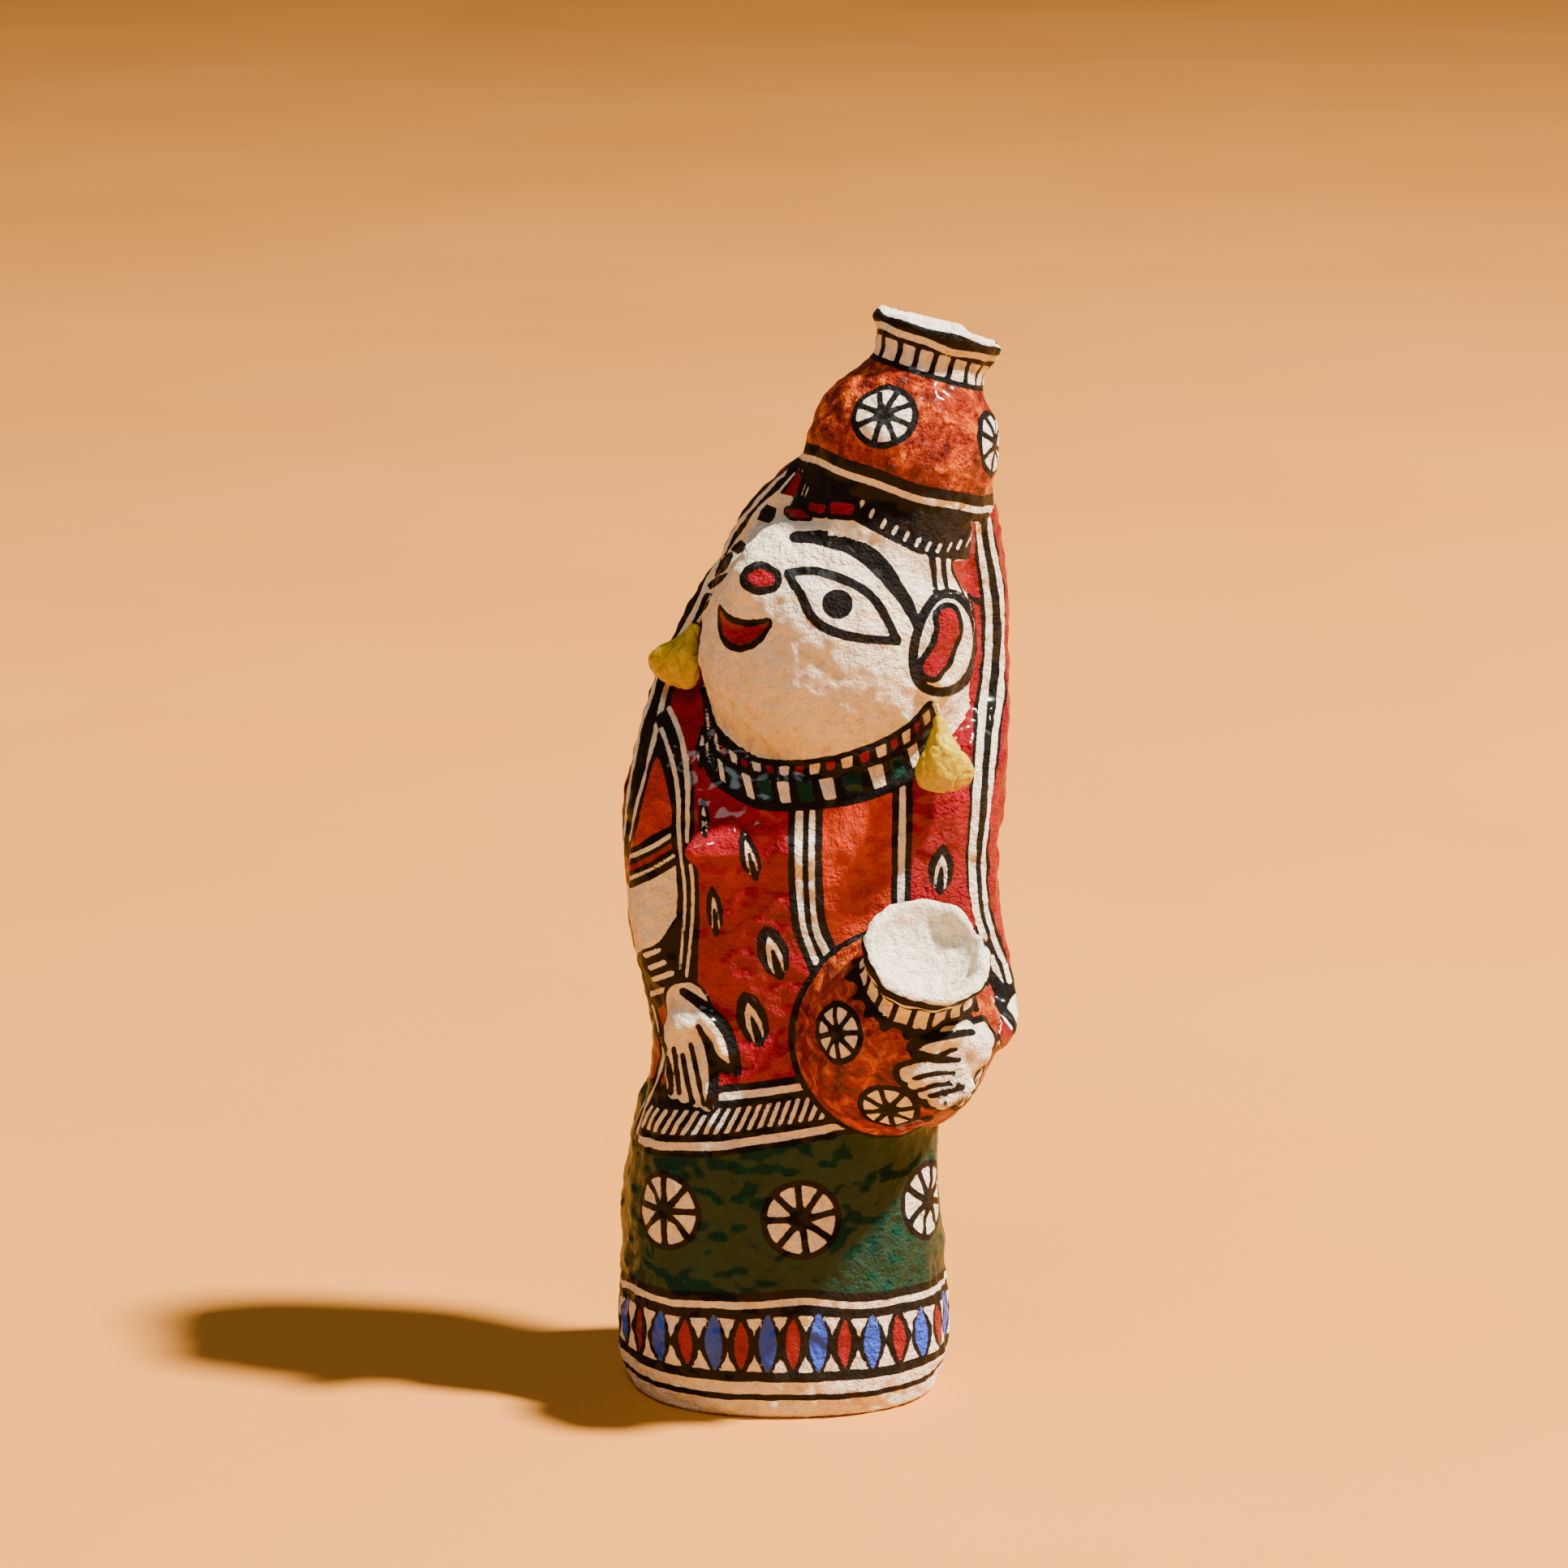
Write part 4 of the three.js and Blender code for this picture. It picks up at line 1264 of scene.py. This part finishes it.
# Each paint where its noise is low and where it is high, in the order in which they are laid.
PAINTS = {
    "pot": [(0.34, (0.06, 0.003, 0.001, 1)), (0.50, (0.26, 0.018, 0.001, 1)),
            (0.66, (0.66, 0.120, 0.004, 1))],
    "red": [(0.30, (0.15, 0.0001, 0.004, 1)), (0.70, (0.33, 0.0005, 0.010, 1))],
    "orange": [(0.30, (0.26, 0.008, 0.0003, 1)), (0.70, (0.58, 0.040, 0.0007, 1))],
    "green": [(0.30, (0.0004, 0.019, 0.011, 1)), (0.70, (0.0012, 0.048, 0.025, 1))],
    "blue": [(0.30, (0.010, 0.045, 0.50, 1)), (0.70, (0.030, 0.110, 0.85, 1))],
    "black": [(0.30, (0.0025, 0.0020, 0.0016, 1)), (0.75, (0.008, 0.0065, 0.005, 1))],
}


def painted_pulp():
    """White ground on lumpy pulp, with brushed colours from the paint attributes."""
    material, start = new_material("painted_pulp")
    place = object_place(start)
    broad = grain(place, 14, 3)
    middle = grain(place, 3.2, 3, 0.6)
    coarse = grain(place, 1.8, 2, 0.5, 0.4)
    fine = grain(place, 0.9, 3, 0.65)
    specks = grain(place, 0.45, 2, 0.7)
    wander = (grain(place, 1.3, 2) - 0.5) * EDGE_WANDER
    masks = {}
    for colour in COLOURS:
        distance = attribute(start, colour) + wander
        masks[colour] = (0.5 - distance / EDGE_SOFTNESS).math("ADD", 0.0, clamp=True)
    hollow = attribute(start, "hollow")

    ground = colour_ramp(broad, [(0.30, (0.84, 0.75, 0.56, 1)), (0.70, (0.93, 0.86, 0.69, 1))])
    # Painted shade and dirt: the ground is painted darker brown in the mesh's hollows, as shade, and in
    # patches of noise, as dirt.
    dirt_and_hollow_shade = (hollow * 0.8 + (middle - 0.52) * 1.6).math("MULTIPLY", 1.0, clamp=True)
    ground = blend(dirt_and_hollow_shade * 0.55, ground, (0.50, 0.38, 0.24, 1))
    stains = ((grain(place, 6, 4, 0.7) - 0.58) * 5).math("ADD", 0.0, clamp=True)
    ground = blend(stains * 0.42, ground, (0.56, 0.43, 0.25, 1))

    tone = broad * 0.5 + middle * 0.5
    mottle = grain(place, 5, 4, 0.7, 0.6)
    skin = ground
    paint = masks["pot"]
    for colour, stops in PAINTS.items():
        skin = blend(masks[colour], skin, colour_ramp(mottle if colour == "pot" else tone, stops))
        paint = paint.math("MAXIMUM", masks[colour])
    gloss = paint * (1 - masks["black"] * 0.45)
    rough = 0.82 - gloss * 0.30 + (fine - 0.5) * 0.22
    relief = middle * 0.70 + coarse * 0.60 + fine * 0.44 + specks * 0.16 + paint * 0.06
    finish_material(start, {
        "Base Color": skin, "Roughness": rough.math("MAXIMUM", 0.12),
        "Coat Weight": gloss * 0.30, "Coat Roughness": 0.13, "IOR": 1.45,
        "Specular IOR Level": 0.10, "Normal": bumps(relief, 1.9),
    })
    return material


def yellow_paint():
    material, start = new_material("yellow_paint")
    place = object_place(start)
    middle = grain(place, 2.4, 4, 0.65, 0.8)
    fine = grain(place, 0.7, 3, 0.6)
    hollow = attribute(start, "hollow")
    colour = colour_ramp(middle, [(0.30, (0.36, 0.24, 0.0002, 1)), (0.65, (0.52, 0.41, 0.0003, 1))])
    # Painted shade: the yellow is painted darker brown in the earring's hollows.
    colour = blend(hollow.math("MULTIPLY", 0.6, clamp=True), colour, (0.30, 0.15, 0.01, 1))
    finish_material(start, {
        "Base Color": colour, "Roughness": 0.42 + (fine - 0.5) * 0.2, "Coat Weight": 0.12,
        "Coat Roughness": 0.2, "Specular IOR Level": 0.1, "Normal": bumps(middle * 0.5 + fine * 0.3, 0.6),
    })
    return material


def spun_thread():
    material, start = new_material("spun_thread")
    place = object_place(start)
    twist = start.node("ShaderNodeTexWave", {"bands_direction": "DIAGONAL"},
                       {"Vector": place, "Scale": 900.0, "Distortion": 1.5, "Detail": 2.0}, "Fac")
    colour = colour_ramp(twist, [(0.2, (0.42, 0.34, 0.20, 1)), (0.8, (0.74, 0.66, 0.48, 1))])
    finish_material(start, {"Base Color": colour, "Roughness": 0.85, "Normal": bumps(twist, 0.12)})
    return material


def floor_paper():
    material, start = new_material("floor_paper")
    place = object_place(start)
    tone = grain(place, 300, 3)
    colour = colour_ramp(tone, [(0.3, (0.57, 0.218, 0.032, 1)), (0.7, (0.62, 0.245, 0.040, 1))])
    finish_material(start, {"Base Color": colour, "Roughness": 0.85, "Specular IOR Level": 0.1,
                            "Normal": bumps(grain(place, 0.8, 3), 0.05)})
    return material


def make_floor():
    shape = bmesh.new()
    bmesh.ops.create_grid(shape, x_segments=4, y_segments=4, size=8.0)
    mesh = bpy.data.meshes.new("floor")
    shape.to_mesh(mesh)
    shape.free()
    floor = link(bpy.data.objects.new("floor", mesh))
    floor.data.materials.append(floor_paper())


# Pieces.
def put_attribute(mesh, name, values):
    layer = mesh.attributes.new(name, "FLOAT", "POINT")
    layer.data.foreach_set("value", np.ascontiguousarray(values, np.float32))


def hollows(points, normals, edges):
    """How far each point lies below its surroundings, 0 on level or raised places; the materials paint
    shade darker by it.
    """
    soft = smooth(points.copy(), edges, 5, 0.6)
    return np.clip(((soft - points) * normals).sum(1) * 9, 0, 1)


def cut_piece(mesh, low, high):
    """The closed piece of a mesh between two heights."""
    shape = bmesh.new()
    shape.from_mesh(mesh)
    for height, way in ((low, -1), (high, 1)):
        if height is None:
            continue
        everything = shape.verts[:] + shape.edges[:] + shape.faces[:]
        cut = bmesh.ops.bisect_plane(shape, geom=everything, plane_co=(0, 0, height * MM),
                                     plane_no=(0, 0, way), clear_outer=True)
        rim = [item for item in cut["geom_cut"] if isinstance(item, bmesh.types.BMEdge)]
        bmesh.ops.holes_fill(shape, edges=rim, sides=0)
    bmesh.ops.triangulate(shape, faces=shape.faces[:])
    piece = bpy.data.meshes.new("piece")
    shape.to_mesh(piece)
    shape.free()
    return piece


def make_figure():
    form = worked_form()
    surface = Surface(form)
    coat = paint_figure(surface)
    hollow = hollows(surface.points, surface.normals, mesh_edges(form))
    for colour in COLOURS:
        put_attribute(form, colour, np.clip(coat.edge[colour], -3, 3))
    put_attribute(form, "hollow", hollow)
    finder = KDTree(len(surface.points))
    for index, point in enumerate(surface.points):
        finder.insert(point, index)
    finder.balance()
    material = painted_pulp()
    bounds = (None,) + CUT_HEIGHTS + (None,)
    for name, low, high in zip(PIECE_NAMES, bounds, bounds[1:]):
        mesh = cut_piece(form, low, high)
        nearest = [finder.find(point)[1] for point in mesh_points(mesh)]
        mesh.shade_smooth()
        mesh.normals_split_custom_set_from_vertices(surface.normals[nearest].tolist())
        mesh.materials.append(material)
        piece = link(bpy.data.objects.new(name, mesh))
        mesh.name = name
        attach(piece, "root")
        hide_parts("figure")


def make_earring(node, material):
    """A pear of pinched pulp, wrinkled where it was rolled."""
    fine = remeshed(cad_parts[node].data.copy(), EARRING_CELL)
    points = smooth(mesh_points(fine), mesh_edges(fine), 14, SOFTNESS)
    set_points(fine, points)
    normals = mesh_normals(fine)
    lumps = 0.35 * noise_at(points, 4.0, 2.0) + 0.26 * noise_at(points, 1.6, 9.0)
    folds = -0.32 * np.clip(1 - 5 * np.abs(noise_at(points * (1.3, 1.3, 1), 4.4, 4.0)), 0, 1)
    points = points + normals * (lumps + folds)[:, None]
    low, high = (np.array(corner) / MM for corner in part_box(node))
    set_points(fine, np.clip(points, low, high))
    put_attribute(fine, "hollow", hollows(mesh_points(fine), mesh_normals(fine), mesh_edges(fine)))
    fine.shade_smooth()
    fine.materials.clear()
    fine.materials.append(material)
    pear = link(bpy.data.objects.new(node + "_pear", fine))
    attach(pear, "root")
    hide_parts(node)


def dress_thread(node, material):
    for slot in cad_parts[node].material_slots:
        slot.material = material


make_floor()
make_figure()
yellow = yellow_paint()
thread = spun_thread()
for side in ("left", "right"):
    make_earring(side + "_earring", yellow)
    dress_thread(side + "_earring_thread", thread)
